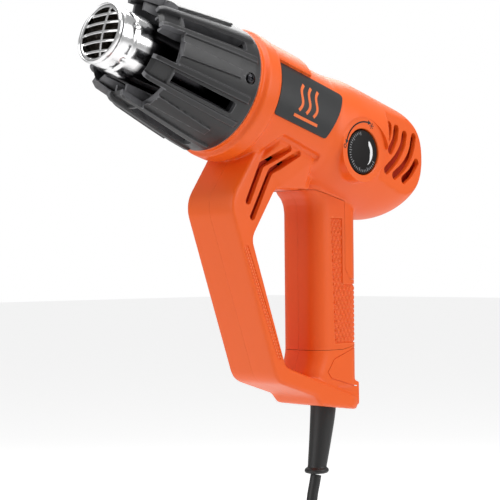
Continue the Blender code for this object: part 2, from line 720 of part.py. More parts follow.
def lead_pieces():
    profile = [(-58.6, 0), (-58.6, 10.2), (-61.6, 10.2), (-61.6, 8.2), (-80, 8.2), (-92, 7.6),
               (-104, 6.9), (-116.6, 6.1), (-117, 7.7), (-120.2, 7.7), (-120.2, 0)]
    relief = turned("strain_relief", profile, 24, Matrix.Rotation(-math.pi / 2, 4, "Y"))
    relief.data.transform(relief.matrix_world)
    relief.matrix_world = WORLD
    for vertex in relief.data.vertices:
        vertex.co.x += relief_lean(vertex.co.z / MM) * MM
    done(relief, "black_rubber")

    stub = rod("inner_lead", "Z", (3, 0, 0), 3.3, -58.2, -38, 12)
    done(stub, "black_rubber")
    clamp = box("cord_clamp", (-8.0, 3.8, CLAMP_Z - 3.2), (14.0, 6.8, CLAMP_Z + 3.2))
    for x in CLAMP_POSTS:
        cut(clamp, rod("hole", "Y", (x, 0, CLAMP_Z), 1.7, 0, 10, 12))
    done(clamp, "black_plastic")
    for x, name in zip(CLAMP_POSTS, ("clamp_screw_front", "clamp_screw_rear")):
        screw(name, across(x, CLAMP_Z), 6.8, 9.5, 2.4)
    for y, name in ((-1.7, "live_wire"), (1.7, "neutral_wire")):
        route = [Vector(p) for p in ((3, y, -37.4), (3, y, -34), (7, y * 2.4, -26), (9.5, y * 2.6, -10),
                                     (7.8, y * 1.8, 3), (7.5, y * 1.7, SWITCH_Z - 13.4))]
        wire(name, smooth_route(route, 2), 1.8, "copper_wire")


def lead_route():
    """The lead from the strain relief to where it runs into its tied coil."""
    turn_r = LEAD_COIL_OUT - LEAD_D / 2
    lean = math.asin(LEAD_BEND / (turn_r + LEAD_BEND))
    top = LEAD_COIL_Z + (turn_r + LEAD_BEND) * math.cos(lean)
    places = [(-4.8, 0, -121.3), (-6.0, 0, -126.0), (-8.2, 0, -134.0), (-10.3, -0.6, -143.0),
              (-11.9, -1.8, -152.0), (LEAD_COIL_X, -3.2, top)]
    for k in range(1, 4):
        angle = math.radians(90 + (LEAD_END_ANGLE - 90) * k / 3)
        places.append((LEAD_COIL_X - LEAD_BEND + LEAD_BEND * math.sin(angle), -TURN_SIDE,
                       top - LEAD_BEND * math.cos(angle)))
    return smooth_route([Vector(place) for place in places], 2)


def lead():
    wire("mains_lead", lead_route(), LEAD_D, "black_rubber")
    coil_frame = Matrix.Translation((LEAD_COIL_X * MM, 0, LEAD_COIL_Z * MM)) @ Matrix.Rotation(
        math.pi / 2, 4, "Z")
    half = LEAD_COIL_HALF
    ring = [(-half, LEAD_COIL_IN + 2), (-half, LEAD_COIL_OUT - 2), (-half + 2, LEAD_COIL_OUT),
            (half - 2, LEAD_COIL_OUT), (half, LEAD_COIL_OUT - 2), (half, LEAD_COIL_IN + 2),
            (half - 2, LEAD_COIL_IN), (-half + 2, LEAD_COIL_IN)]
    done(turned("lead_coil", ring, 28, coil_frame), "black_rubber")

    tie_frame = Matrix.Translation((LEAD_COIL_X * MM, 0, LEAD_COIL_Z * MM)) @ Matrix.Rotation(
        math.radians(TIE_ANGLE), 4, "Y")
    low, high, wide = LEAD_COIL_IN - 0.6, LEAD_COIL_OUT + 0.4, half + 0.4
    tie = box("lead_tie", (-3, -wide - 1.2, low - 1.2), (3, wide + 1.2, high + 1.2), tie_frame)
    cut(tie, box("tie_space", (-5, -wide, low), (5, wide, high), tie_frame))
    done(tie, "black_rubber")


def plug():
    """A flat two-pin plug that hangs from the end of the tied coil, straight below its last turn."""
    x = LEAD_COIL_X - LEAD_COIL_OUT + LEAD_D / 2
    y = TURN_SIDE
    face = LEAD_COIL_Z - 76
    rings = []
    for z, half_x, half_y, corner in ((45.5, 4.4, 4.4, 3.9), (31, 6.0, 6.0, 5.2), (29, 8.0, 7.0, 5.5),
                                      (24, 9.0, 7.5, 5.5), (16, 16.5, 9.0, 6.5), (0, 17.5, 9.5, 6.5)):
        corners = [(x - half_x, y - half_y, corner), (x - half_x, y + half_y, corner),
                   (x + half_x, y + half_y, corner), (x + half_x, y - half_y, corner)]
        rings.append([(p[0], p[1], face + z) for p in rounded(corners)])
    done(loft("plug_body", rings), "black_rubber")
    for side, name in ((-1, "plug_pin_live"), (1, "plug_pin_neutral")):
        place = (x + side * PIN_SPACING / 2, y, 0)
        done(rod(name, "Z", place, 2.4, face - GAP - PIN_LENGTH, face - GAP, 16), "polished_steel")


def main():
    housing_halves()
    grip_panels()
    badges()
    housing_screws()
    shroud()
    outlet()
    heater()
    blower()
    controls()
    lead_pieces()
    lead()
    plug()


main()
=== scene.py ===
import json
import math

import bmesh
import bpy
import numpy as np
from mathutils import Matrix, Vector
from mathutils.bvhtree import BVHTree


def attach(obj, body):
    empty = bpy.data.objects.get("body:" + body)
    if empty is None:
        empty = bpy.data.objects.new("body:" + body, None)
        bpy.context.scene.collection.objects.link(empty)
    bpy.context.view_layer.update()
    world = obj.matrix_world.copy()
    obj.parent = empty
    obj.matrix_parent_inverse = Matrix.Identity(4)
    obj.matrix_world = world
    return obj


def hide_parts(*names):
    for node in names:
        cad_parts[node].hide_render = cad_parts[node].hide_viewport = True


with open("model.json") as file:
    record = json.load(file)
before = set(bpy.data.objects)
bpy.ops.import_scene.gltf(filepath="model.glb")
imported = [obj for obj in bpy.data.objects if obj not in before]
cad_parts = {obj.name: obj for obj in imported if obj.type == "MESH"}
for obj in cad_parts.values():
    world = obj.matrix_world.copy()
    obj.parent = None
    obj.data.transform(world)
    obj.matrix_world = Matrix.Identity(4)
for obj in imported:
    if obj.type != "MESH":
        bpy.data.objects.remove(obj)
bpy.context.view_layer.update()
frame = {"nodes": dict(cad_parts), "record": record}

# Sizes are in millimetres and become metres where a mesh is made.
mm = 0.001
still = Matrix.Identity(4)
barrel = {"height": 92.9, "tilt": 16.0}     # the barrel's axis: X to the rear, Z across it
barrelPlace = (Matrix.Translation((0, 0, barrel["height"] * mm))
               @ Matrix.Rotation(math.radians(barrel["tilt"]), 4, "Y"))


# Mesh tools
def addObject(name, data):
    piece = bpy.data.objects.new(name, data)
    bpy.context.scene.collection.objects.link(piece)
    return piece


def addMesh(name, points, faces, place=still):
    # points in the millimetres of a place; duplicate points are joined and faces turned outwards
    bm = bmesh.new()
    corners = [bm.verts.new(Vector(p) * mm) for p in points]
    for face in faces:
        bm.faces.new([corners[i] for i in face])
    bmesh.ops.remove_doubles(bm, verts=bm.verts, dist=1e-7)
    bmesh.ops.dissolve_degenerate(bm, edges=bm.edges, dist=1e-7)
    bmesh.ops.transform(bm, matrix=place, verts=bm.verts)
    bmesh.ops.recalc_face_normals(bm, faces=bm.faces)
    mesh = bpy.data.meshes.new(name)
    bm.to_mesh(mesh)
    bm.free()
    return addObject(name, mesh)


def skin(name, rings, place=still, looped=False):
    # closed skin through rings of points; looped joins the last ring to the first
    count, around = len(rings), len(rings[0])
    faces = []
    for i in range(count if looped else count - 1):
        low, high = i * around, (i + 1) % count * around
        for j in range(around):
            k = (j + 1) % around
            faces.append((low + j, low + k, high + k, high + j))
    if not looped:
        faces.append(tuple(range(around))[::-1])
        faces.append(tuple((count - 1) * around + j for j in range(around)))
    return addMesh(name, [p for ring in rings for p in ring], faces, place)


def turned(name, profile, sides, place, radius=None):
    # closed profile of (along X, radius) turned about X; radius(s, r, angle) may reshape it
    rings = []
    for i in range(sides):
        angle = 2 * math.pi * i / sides
        ring = []
        for s, r in profile:
            reach = radius(s, r, angle) if radius else r
            ring.append((s, -reach * math.cos(angle), -reach * math.sin(angle)))
        rings.append(ring)
    return skin(name, rings, place, looped=True)


def prism(name, outline, start, end, place=still):
    return skin(name, [[(x, y, z) for x, z in outline] for y in (start, end)], place)


def hull(name, points, place=still):
    bm = bmesh.new()
    for point in points:
        bm.verts.new(Vector(point) * mm)
    made = bmesh.ops.convex_hull(bm, input=bm.verts)
    loose = [v for v in made["geom_interior"] if isinstance(v, bmesh.types.BMVert)]
    bmesh.ops.delete(bm, geom=loose, context="VERTS")
    bmesh.ops.transform(bm, matrix=place, verts=bm.verts)
    mesh = bpy.data.meshes.new(name)
    bm.to_mesh(mesh)
    bm.free()
    return addObject(name, mesh)


def block(name, low, high, place=still):
    return hull(name, [(x, y, z) for x in (low[0], high[0]) for y in (low[1], high[1])
                       for z in (low[2], high[2])], place)


def rod(name, axis, centre, radius, start, end, sides=48, place=still):
    # cylinder along X, Y or Z
    index = "XYZ".index(axis)
    rings = []
    for along in (start, end):
        ring = []
        for i in range(sides):
            angle = 2 * math.pi * i / sides
            point = list(centre)
            point[index] = along
            point[(index + 1) % 3] += radius * math.cos(angle)
            point[(index + 2) % 3] += radius * math.sin(angle)
            ring.append(tuple(point))
        rings.append(ring)
    return skin(name, rings, place)


def settle(piece):
    # keeps the result of the modifiers as the mesh
    graph = bpy.context.evaluated_depsgraph_get()
    mesh = bpy.data.meshes.new_from_object(piece.evaluated_get(graph))
    piece.modifiers.clear()
    old = piece.data
    piece.data = mesh
    bpy.data.meshes.remove(old)


def combine(piece, operation, tools):
    for tool in tools:
        step = piece.modifiers.new("combine", "BOOLEAN")
        step.operation = operation
        step.solver = "MANIFOLD"
        step.object = tool
        settle(piece)
        bpy.data.objects.remove(tool)
    return piece


def cut(piece, *tools):
    return combine(piece, "DIFFERENCE", tools)


def unite(piece, *tools):
    return combine(piece, "UNION", tools)


def keepInside(piece, *tools):
    return combine(piece, "INTERSECT", tools)


def gather(name, pieces):
    # one object from several, their meshes kept as they are
    bm = bmesh.new()
    for piece in pieces:
        bm.from_mesh(piece.data)
        bpy.data.objects.remove(piece)
    mesh = bpy.data.meshes.new(name)
    bm.to_mesh(mesh)
    bm.free()
    return addObject(name, mesh)


def twin(piece, name):
    return addObject(name, piece.data.copy())


def remesh(piece, voxel, rounds):
    # one even skin over all that overlaps, its edges softened
    step = piece.modifiers.new("skin", "REMESH")
    step.mode = "VOXEL"
    step.voxel_size = voxel * mm
    soften = piece.modifiers.new("soften", "SMOOTH")
    soften.factor = 0.5
    soften.iterations = rounds
    settle(piece)
    return piece


def bevel(piece, width, segments=3, angle=30):
    step = piece.modifiers.new("edges", "BEVEL")
    step.width = width * mm
    step.segments = segments
    step.limit_method = "ANGLE"
    step.angle_limit = math.radians(angle)
    settle(piece)
    return piece


def shade(piece, angle=32):
    piece.data.shade_smooth()
    piece.data.set_sharp_from_angle(angle=math.radians(angle))


def dress(piece, material, body="housing", stands=(), angle=32):
    # finish, body and the nodes that a piece stands for
    piece.data.materials.clear()
    piece.data.materials.append(material)
    if piece.type == "MESH":
        shade(piece, angle)
    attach(piece, body)
    if stands:
        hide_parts(*stands)
    return piece


# Outlines and lines in a flat view
def rounded(corners, steps=8):
    # closed outline from (x, z, corner radius)
    points = []
    for i, (x, z, radius) in enumerate(corners):
        here = Vector((x, z))
        if radius == 0:
            points.append(here)
            continue
        before = (Vector(corners[i - 1][:2]) - here).normalized()
        after = (Vector(corners[(i + 1) % len(corners)][:2]) - here).normalized()
        half = before.angle(after) / 2
        centre = here + (before + after).normalized() * radius / math.sin(half)
        first = here + before * radius / math.tan(half) - centre
        last = here + after * radius / math.tan(half) - centre
        sweep = first.angle_signed(last)
        for step in range(steps + 1):
            points.append(centre + Matrix.Rotation(-sweep * step / steps, 2) @ first)
    return [tuple(p) for p in points]


def smoothStep(value, low, high):
    t = min(1.0, max(0.0, (value - low) / (high - low)))
    return t * t * (3 - 2 * t)


def between(value, table):
    # straight interpolation in rows of (position, value)
    return float(np.interp(value, [row[0] for row in table], [row[1] for row in table]))


def smoothLine(points, steps):
    # points on a Catmull-Rom curve through the given ones
    points = [Vector(p) for p in points]
    ends = [2 * points[0] - points[1]] + points + [2 * points[-1] - points[-2]]
    line = []
    for a, b, c, d in zip(ends, ends[1:], ends[2:], ends[3:]):
        for step in range(steps):
            t = step / steps
            line.append(0.5 * (2 * b + (c - a) * t + (2 * a - 5 * b + 4 * c - d) * t ** 2
                               + (3 * b - a - 3 * c + d) * t ** 3))
    return line + [points[-1]]


def sides(path, width, capSteps=8):
    # outline of a strip of even width with round ends along flat points
    points = [Vector(p) for p in path]
    left, right = [], []
    for i, point in enumerate(points):
        before = (point - points[i - 1]).normalized() if i else None
        after = (points[i + 1] - point).normalized() if i < len(points) - 1 else None
        along = ((before or after) + (after or before)).normalized()
        across = Vector((-along.y, along.x)) * width / 2 / along.dot(after or before)
        left.append(point + across)
        right.append(point - across)

    def cap(centre, start):
        arm = start - centre
        return [centre + Matrix.Rotation(-math.pi * k / capSteps, 2) @ arm for k in range(1, capSteps)]

    whole = left + cap(points[-1], left[-1]) + right[::-1] + cap(points[0], right[0])
    return [tuple(p) for p in whole]


# Materials
def addGroup(name, inputs, outputs):
    group = bpy.data.node_groups.new(name, "ShaderNodeTree")
    for label, kind, value in inputs:
        socket = group.interface.new_socket(label, in_out="INPUT", socket_type=kind)
        socket.default_value = value
    for label, kind in outputs:
        group.interface.new_socket(label, in_out="OUTPUT", socket_type=kind)
    return group, group.nodes.new("NodeGroupInput"), group.nodes.new("NodeGroupOutput")


def mathNode(tree, operation, first, second, clamp=False):
    node = tree.nodes.new("ShaderNodeMath")
    node.operation = operation
    node.use_clamp = clamp
    for socket, value in zip(node.inputs, (first, second)):
        if isinstance(value, (int, float)):
            socket.default_value = value
        else:
            tree.links.new(value, socket)
    return node.outputs[0]


def noiseNode(tree, coords, scale, detail=3.0, roughness=0.5):
    node = tree.nodes.new("ShaderNodeTexNoise")
    node.inputs["Detail"].default_value = detail
    node.inputs["Roughness"].default_value = roughness
    if isinstance(scale, (int, float)):
        node.inputs["Scale"].default_value = scale
    else:
        tree.links.new(scale, node.inputs["Scale"])
    tree.links.new(coords, node.inputs["Vector"])
    return node.outputs["Fac"]


def objectCoords(tree):
    return tree.nodes.new("ShaderNodeTexCoord").outputs["Object"]


def makeMottle():
    # slow change of tone and gloss over a surface
    group, given, out = addGroup(
        "mottle",
        [("Color", "NodeSocketColor", (0.5, 0.5, 0.5, 1)), ("Dark", "NodeSocketColor", (0.4, 0.4, 0.4, 1)),
         ("Scale", "NodeSocketFloat", 40.0), ("Amount", "NodeSocketFloat", 0.5),
         ("Roughness", "NodeSocketFloat", 0.4), ("Spread", "NodeSocketFloat", 0.1)],
        [("Color", "NodeSocketColor"), ("Roughness", "NodeSocketFloat")])
    coords = objectCoords(group)
    slow = noiseNode(group, coords, given.outputs["Scale"], 4.0, 0.6)
    mix = group.nodes.new("ShaderNodeMix")
    mix.data_type = "RGBA"
    factor = mathNode(group, "MULTIPLY", slow, given.outputs["Amount"])
    group.links.new(factor, mix.inputs["Factor"])
    group.links.new(given.outputs["Color"], mix.inputs["A"])
    group.links.new(given.outputs["Dark"], mix.inputs["B"])
    group.links.new(mix.outputs["Result"], out.inputs["Color"])
    fine = noiseNode(group, coords, mathNode(group, "MULTIPLY", given.outputs["Scale"], 5.0), 3.0)
    swing = mathNode(group, "SUBTRACT", fine, 0.5)
    swing = mathNode(group, "MULTIPLY", swing, given.outputs["Spread"])
    rough = mathNode(group, "ADD", swing, given.outputs["Roughness"], clamp=True)
    group.links.new(rough, out.inputs["Roughness"])
    return group


def makeGrain():
    # fine moulded grain, as a height
    group, given, out = addGroup(
        "mouldGrain",
        [("Scale", "NodeSocketFloat", 2500.0), ("Pits", "NodeSocketFloat", 0.4)],
        [("Height", "NodeSocketFloat")])
    coords = objectCoords(group)
    grain = noiseNode(group, coords, given.outputs["Scale"], 2.0, 0.6)
    cells = group.nodes.new("ShaderNodeTexVoronoi")
    group.links.new(coords, cells.inputs["Vector"])
    group.links.new(given.outputs["Scale"], cells.inputs["Scale"])
    pits = mathNode(group, "MULTIPLY", cells.outputs["Distance"], given.outputs["Pits"])
    group.links.new(mathNode(group, "ADD", grain, pits), out.inputs["Height"])
    return group


def makeEdgeHighlight():
    # mask of sharp edges for a painted highlight, broken up by noise
    group, given, out = addGroup(
        "edgeWear",
        [("Start", "NodeSocketFloat", 0.53), ("Break", "NodeSocketFloat", 0.6),
         ("Scale", "NodeSocketFloat", 300.0)],
        [("Mask", "NodeSocketFloat")])
    shape = group.nodes.new("ShaderNodeNewGeometry")
    edge = mathNode(group, "SUBTRACT", shape.outputs["Pointiness"], given.outputs["Start"])
    edge = mathNode(group, "MULTIPLY", edge, 12.0, clamp=True)
    noise = noiseNode(group, objectCoords(group), given.outputs["Scale"], 5.0, 0.65)
    gaps = mathNode(group, "MULTIPLY", noise, given.outputs["Break"])
    gaps = mathNode(group, "SUBTRACT", 1.0, gaps, clamp=True)
    group.links.new(mathNode(group, "MULTIPLY", edge, gaps, clamp=True), out.inputs["Mask"])
    return group


def makeShroudShadeZone():
    # painted shade of the shroud on the tube: mask that grows along the barrel, from one place over a
    # length, both in metres
    group, given, out = addGroup(
        "heatZone", [("Start", "NodeSocketFloat", -0.165), ("Length", "NodeSocketFloat", 0.004)],
        [("Mask", "NodeSocketFloat")])
    split = group.nodes.new("ShaderNodeSeparateXYZ")
    group.links.new(objectCoords(group), split.inputs["Vector"])
    tilt = math.radians(barrel["tilt"])
    forward = mathNode(group, "MULTIPLY", split.outputs["X"], math.cos(tilt))
    upward = mathNode(group, "SUBTRACT", split.outputs["Z"], barrel["height"] * mm)
    upward = mathNode(group, "MULTIPLY", upward, math.sin(tilt))
    along = mathNode(group, "SUBTRACT", forward, upward)
    along = mathNode(group, "SUBTRACT", along, given.outputs["Start"])
    grown = mathNode(group, "DIVIDE", along, given.outputs["Length"], clamp=True)
    group.links.new(grown, out.inputs["Mask"])
    return group


mottle, mouldGrain, edgeWear, heatZone = makeMottle(), makeGrain(), makeEdgeHighlight(), makeShroudShadeZone()


def placeGroup(tree, group, values):
    node = tree.nodes.new("ShaderNodeGroup")
    node.node_tree = group
    for label, value in values.items():
        node.inputs[label].default_value = value
    return node


def layOver(tree, mask, base, colour):
    # second colour where the mask says
    mix = tree.nodes.new("ShaderNodeMix")
    mix.data_type = "RGBA"
    tree.links.new(mask, mix.inputs["Factor"])
    tree.links.new(base, mix.inputs["A"])
    mix.inputs["B"].default_value = (*colour, 1)
    return mix.outputs["Result"]


def makeMaterial(name, look):
    # plastic, rubber or metal from one dictionary of values
    material = bpy.data.materials.new(name)
    material.use_nodes = True
    tree = material.node_tree
    shader = tree.nodes["Principled BSDF"]
    shader.inputs["Metallic"].default_value = look.get("metallic", 0.0)
    shader.inputs["Specular IOR Level"].default_value = look.get("specular", 0.5)
    shader.inputs["Coat Weight"].default_value = look.get("coat", 0.0)
    shader.inputs["Coat Roughness"].default_value = look.get("coatRoughness", 0.2)
    colour = look["colour"]
    dark = look.get("dark", tuple(c * 0.8 for c in colour))
    tone = placeGroup(tree, mottle, {
        "Color": (*colour, 1), "Dark": (*dark, 1), "Scale": look.get("scale", 40.0),
        "Amount": look.get("amount", 0.5), "Roughness": look["roughness"],
        "Spread": look.get("spread", 0.1)})
    tree.links.new(tone.outputs["Roughness"], shader.inputs["Roughness"])
    base = tone.outputs["Color"]
    # painted highlight: a lighter colour laid over sharp edges
    if look.get("worn"):
        edgeLit = placeGroup(tree, edgeWear, {"Start": look.get("edgeLightStart", 0.53)})
        base = layOver(tree, edgeLit.outputs["Mask"], base, look["worn"])
    # painted shade: a dark colour over the tube's rear, where the shroud shades it
    if look.get("paintedShade"):
        zone = placeGroup(tree, heatZone, {"Start": look["paintedShadeFrom"]})
        base = layOver(tree, zone.outputs["Mask"], base, look["paintedShade"])
    tree.links.new(base, shader.inputs["Base Color"])
    grain = placeGroup(tree, mouldGrain, {"Scale": look.get("grain", 2500.0)})
    bump = tree.nodes.new("ShaderNodeBump")
    bump.inputs["Strength"].default_value = look.get("bump", 0.1)
    bump.inputs["Distance"].default_value = look.get("depth", 0.05) * mm
    tree.links.new(grain.outputs["Height"], bump.inputs["Height"])
    tree.links.new(bump.outputs["Normal"], shader.inputs["Normal"])
    return material


looks = {
    # the lighter edge colours below are painted highlights on sharp edges
    "orange_shell": {"colour": (0.83, 0.115, 0.008), "dark": (0.78, 0.095, 0.006), "roughness": 0.4,
                     "worn": (0.9, 0.19, 0.05), "bump": 0.25, "spread": 0.06, "specular": 0.4},
    "orange_grip": {"colour": (0.81, 0.11, 0.008), "dark": (0.75, 0.09, 0.006), "roughness": 0.46,
                    "worn": (0.88, 0.19, 0.05), "bump": 0.4, "depth": 0.08, "grain": 1800.0,
                    "specular": 0.4},
    "black_shroud": {"colour": (0.017, 0.017, 0.018), "dark": (0.011, 0.011, 0.012), "roughness": 0.38,
                     "worn": (0.2, 0.2, 0.21), "edgeLightStart": 0.512, "bump": 0.6, "depth": 0.1,
                     "grain": 1400.0},
    "black_plastic": {"colour": (0.009, 0.009, 0.009), "roughness": 0.34, "bump": 0.3, "specular": 0.35,
                      "worn": (0.03, 0.03, 0.032)},
    "black_rubber": {"colour": (0.012, 0.012, 0.012), "dark": (0.009, 0.009, 0.009), "roughness": 0.42,
                     "bump": 0.4, "depth": 0.08, "grain": 1500.0},
    "badge_grey": {"colour": (0.02, 0.021, 0.022), "dark": (0.016, 0.017, 0.018), "roughness": 0.4,
                   "bump": 0.2},
    # steel whose rear inside the shroud gets painted shade
    "heatedSteel": {"colour": (0.88, 0.88, 0.88), "dark": (0.8, 0.8, 0.81), "roughness": 0.19,
                    "metallic": 1.0, "spread": 0.06, "bump": 0.05, "grain": 900.0, "scale": 120.0,
                    "paintedShade": (0.025, 0.024, 0.026), "paintedShadeFrom": -0.1665},
    "polished_steel": {"colour": (0.86, 0.86, 0.86), "dark": (0.78, 0.78, 0.79), "roughness": 0.09,
                       "metallic": 1.0, "spread": 0.06, "bump": 0.05, "grain": 900.0, "scale": 120.0},
    "zinc_steel": {"colour": (0.6, 0.61, 0.62), "dark": (0.48, 0.49, 0.5), "roughness": 0.32,
                   "metallic": 1.0, "spread": 0.2, "scale": 300.0},
    # mica kept dark: painted shade inside the tool
    "mica": {"colour": (0.12, 0.1, 0.075), "dark": (0.05, 0.04, 0.03), "roughness": 0.5, "scale": 200.0,
             "amount": 0.9, "spread": 0.3},
    "heater_wire": {"colour": (0.36, 0.31, 0.27), "dark": (0.2, 0.14, 0.12), "roughness": 0.4,
                    "metallic": 1.0, "scale": 400.0, "amount": 0.9},
    "circuit_board": {"colour": (0.03, 0.22, 0.09), "dark": (0.02, 0.15, 0.06), "roughness": 0.35,
                      "scale": 500.0, "amount": 0.9},
    "aluminium": {"colour": (0.74, 0.75, 0.76), "roughness": 0.35, "metallic": 1.0, "spread": 0.2},
    "nylon_white": {"colour": (0.72, 0.7, 0.64), "roughness": 0.5, "bump": 0.2},
    "copper_wire": {"colour": (0.04, 0.08, 0.35), "roughness": 0.42, "bump": 0.2},
    "darkSteel": {"colour": (0.05, 0.05, 0.055), "roughness": 0.3, "metallic": 1.0, "spread": 0.2},
    "dialBlack": {"colour": (0.006, 0.005, 0.005), "roughness": 0.42, "specular": 0.2, "bump": 0.15},
    # darker copy of the orange plastic: painted shade inside the slots
    "orangeInside": {"colour": (0.55, 0.035, 0.005), "roughness": 0.6, "specular": 0.2},
    "printGrey": {"colour": (0.24, 0.24, 0.25), "roughness": 0.5},
    # white of the painted highlight on the dial
    "printWhite": {"colour": (0.8, 0.81, 0.82), "roughness": 0.5},
    "printBlack": {"colour": (0.012, 0.012, 0.012), "roughness": 0.5},
    "printOrange": {"colour": (0.86, 0.16, 0.03), "roughness": 0.5},
}
finishes = {name: makeMaterial(name, look) for name, look in looks.items()}

for node in frame["nodes"].values():        # every node of the model, replaced later or not
    wanted = next(s["material_slot"] for s in frame["record"]["subparts"] if s["node"] == node.name)
    for slot in node.material_slots:
        slot.material = finishes[wanted]
print("materials ready")


# Camera
view = {"place": (-0.70894, -0.65702, 0.01313), "turn": (90.58, 0.49, -44.535), "lens": 108.0}
camera = addObject("camera", bpy.data.cameras.new("camera"))
camera.data.lens = view["lens"]
camera.data.sensor_width = 36.0
camera.location = view["place"]
camera.rotation_euler = [math.radians(a) for a in view["turn"]]
camera.data.clip_end = 20.0
bpy.context.scene.camera = camera


# Lead, coil, tie and plug
lead = {
    "diameter": 7.0, "coilX": -13.0, "coilZ": -232.0, "outer": 48.5, "inner": 33.5, "half": 14.3,
    "side": 3.58, "bend": 30.0, "step": 6.0, "last": 2610.0, "enterSide": -3.2,
    # out of the strain relief and down
    "hang": [(-4.8, 0, -121.3), (-6.0, 0, -126.0), (-8.2, 0, -134.0), (-10.3, -0.6, -143.0),
             (-11.9, -1.8, -152.0)],
    # degrees where a change of turn starts and ends, its amount in sides or turns, and its kind
    "moves": [(290, 383, -2, "y"), (590, 680, -1, "r"), (905, 995, 2, "y"), (1265, 1355, 2, "y"),
              (1625, 1715, 2, "y"), (1940, 2030, 1, "r"), (2255, 2345, -2, "y")],
    "tail": (6, 12, 18, 24, 30.2)}
lead["outerTurn"] = lead["outer"] - lead["diameter"] / 2
lead["innerTurn"] = lead["inner"] + lead["diameter"] / 2 + 0.2


def leadLine():
    lean = math.asin(lead["bend"] / (lead["outerTurn"] + lead["bend"]))
    top = lead["coilZ"] + (lead["outerTurn"] + lead["bend"]) * math.cos(lean)
    places = lead["hang"] + [(lead["coilX"], lead["enterSide"], top)]
    for k in range(1, 6):
        angle = math.pi / 2 + (lean - math.pi / 2) * k / 6
        places.append((lead["coilX"] - lead["bend"] + lead["bend"] * math.sin(angle), -lead["side"],
                       top - lead["bend"] * math.cos(angle)))
    line = smoothLine(places, 4)
    # seven turns: outer layer out, inner layer across, outer layer back
    side = lead["side"]
    angle, last = math.degrees(lean), lead["last"]
    count = round((last - angle) / lead["step"])
    for i in range(count + 1):
        at = angle + (last - angle) * i / count
        y, radius = -side, lead["outerTurn"]
        for start, end, amount, kind in lead["moves"]:
            if kind == "y":
                y += amount * side * smoothStep(at, start, end)
            else:
                radius += amount * (lead["outerTurn"] - lead["innerTurn"]) * smoothStep(at, start, end)
        line.append(Vector((lead["coilX"] - radius * math.sin(math.radians(at)), y,
                            lead["coilZ"] + radius * math.cos(math.radians(at)))))
    x, y = line[-1].x, line[-1].y
    for drop in lead["tail"]:
        line.append(Vector((x, y, lead["coilZ"] - drop)))
    return line


def makeLead():
    line = leadLine()
    data = bpy.data.curves.new("mainsLead", "CURVE")
    data.dimensions = "3D"
    data.bevel_depth = lead["diameter"] / 2 * mm
    data.bevel_resolution = 6
    data.use_fill_caps = True
    spline = data.splines.new("POLY")
    spline.points.add(len(line) - 1)
    for spot, point in zip(spline.points, line):
        spot.co = (*(point * mm), 1)
    spline.use_smooth = True
    piece = addObject("mainsLead", data)
    length = sum((b - a).length for a, b in zip(line, line[1:])) * mm
    print("lead is", round(length, 3), "m long")
    return piece, line[0] * mm, length


plug = {
    "drop": 76.0, "pinRadius": 2.4, "pinLength": 19.0, "pinSpacing": 19.0, "sleeve": -10.0,
    "hollowRadius": 16.4, "hollowOut": 24.4, "hollowUp": 9, "hollowHalf": 10,
    # height above the face, half widths along X and Y, corner radius
    "stations": [
        (0, 16.4, 8.4, 5.6), (0.8, 17.2, 9.2, 6.3), (2, 17.5, 9.5, 6.5), (8, 17.3, 9.4, 6.5),
        (14, 16.6, 9.0, 6.5), (17.5, 15.2, 8.6, 6.4), (20.5, 12.6, 8.0, 6.0), (23.5, 9.6, 7.3, 5.6),
        (26.5, 7.6, 6.7, 5.4), (29.5, 6.6, 6.3, 5.6), (30.4, 5.6, 5.6, 5.1), (31.4, 5.6, 5.6, 5.1),
        (32.2, 6.2, 6.2, 5.7), (34.2, 6.1, 6.1, 5.6), (35, 5.1, 5.1, 4.8), (36, 5.1, 5.1, 4.8),
        (36.8, 5.7, 5.7, 5.3), (38.8, 5.5, 5.5, 5.1), (39.6, 4.7, 4.7, 4.4), (40.6, 4.7, 4.7, 4.4),
        (41.4, 5.2, 5.2, 4.9), (43.4, 5.0, 5.0, 4.7), (44.4, 4.6, 4.6, 4.3), (45.4, 3.9, 3.9, 3.6)]}
plug["x"] = lead["coilX"] - lead["outerTurn"]
plug["face"] = lead["coilZ"] - plug["drop"]


def makePlug():
    rings = []
    for z, halfX, halfY, corner in plug["stations"]:
        corners = [(-halfX, -halfY, corner), (-halfX, halfY, corner), (halfX, halfY, corner),
                   (halfX, -halfY, corner)]
        rings.append([(plug["x"] + x, lead["side"] + y, plug["face"] + z)
                      for x, y in rounded(corners, 8)])
    body = skin("plugBody", rings)
    # finger hollow on each broad side
    for side in (-1, 1):
        centre = (0, lead["side"] + side * plug["hollowOut"], plug["face"] + plug["hollowUp"])
        cut(body, rod("hollow", "X", centre, plug["hollowRadius"], plug["x"] - plug["hollowHalf"],
                      plug["x"] + plug["hollowHalf"], 64))
    dress(body, finishes["black_rubber"], stands=["plug_body"], angle=40)
    pieces = [body]
    for side, node in ((-1, "plug_pin_live"), (1, "plug_pin_neutral")):
        r, top = plug["pinRadius"], 0.0
        low = -plug["pinLength"]
        turn = (Matrix.Translation(((plug["x"] + side * plug["pinSpacing"] / 2) * mm, lead["side"] * mm,
                                    (plug["face"] - 0.3) * mm)) @ Matrix.Rotation(-math.pi / 2, 4, "Y"))
        sleeve = plug["sleeve"]
        profile = [(low, 0), (low + 0.2, r - 1.1), (low + 1.0, r - 0.3), (low + 2.2, r), (sleeve - 0.2, r),
                   (sleeve, r - 0.35), (top, r - 0.35), (top, 0)]
        name = "plugPinLive" if side < 0 else "plugPinNeutral"
        pin = turned(name, profile, 32, turn)
        dress(pin, finishes["polished_steel"], stands=[node])
        around = [(sleeve, r - 0.3), (sleeve, r), (top, r), (top, r - 0.3)]
        cover = turned(name + "Sleeve", around, 32, turn)
        dress(cover, finishes["black_plastic"])
        pieces += [pin, cover]
    return pieces


tie = {"turn": -22, "innerGap": 0.4, "gap": 0.3, "thick": 1.1, "half": 3.0, "corner": 2.6,
       "outerCorner": 3.4, "edge": 0.25}


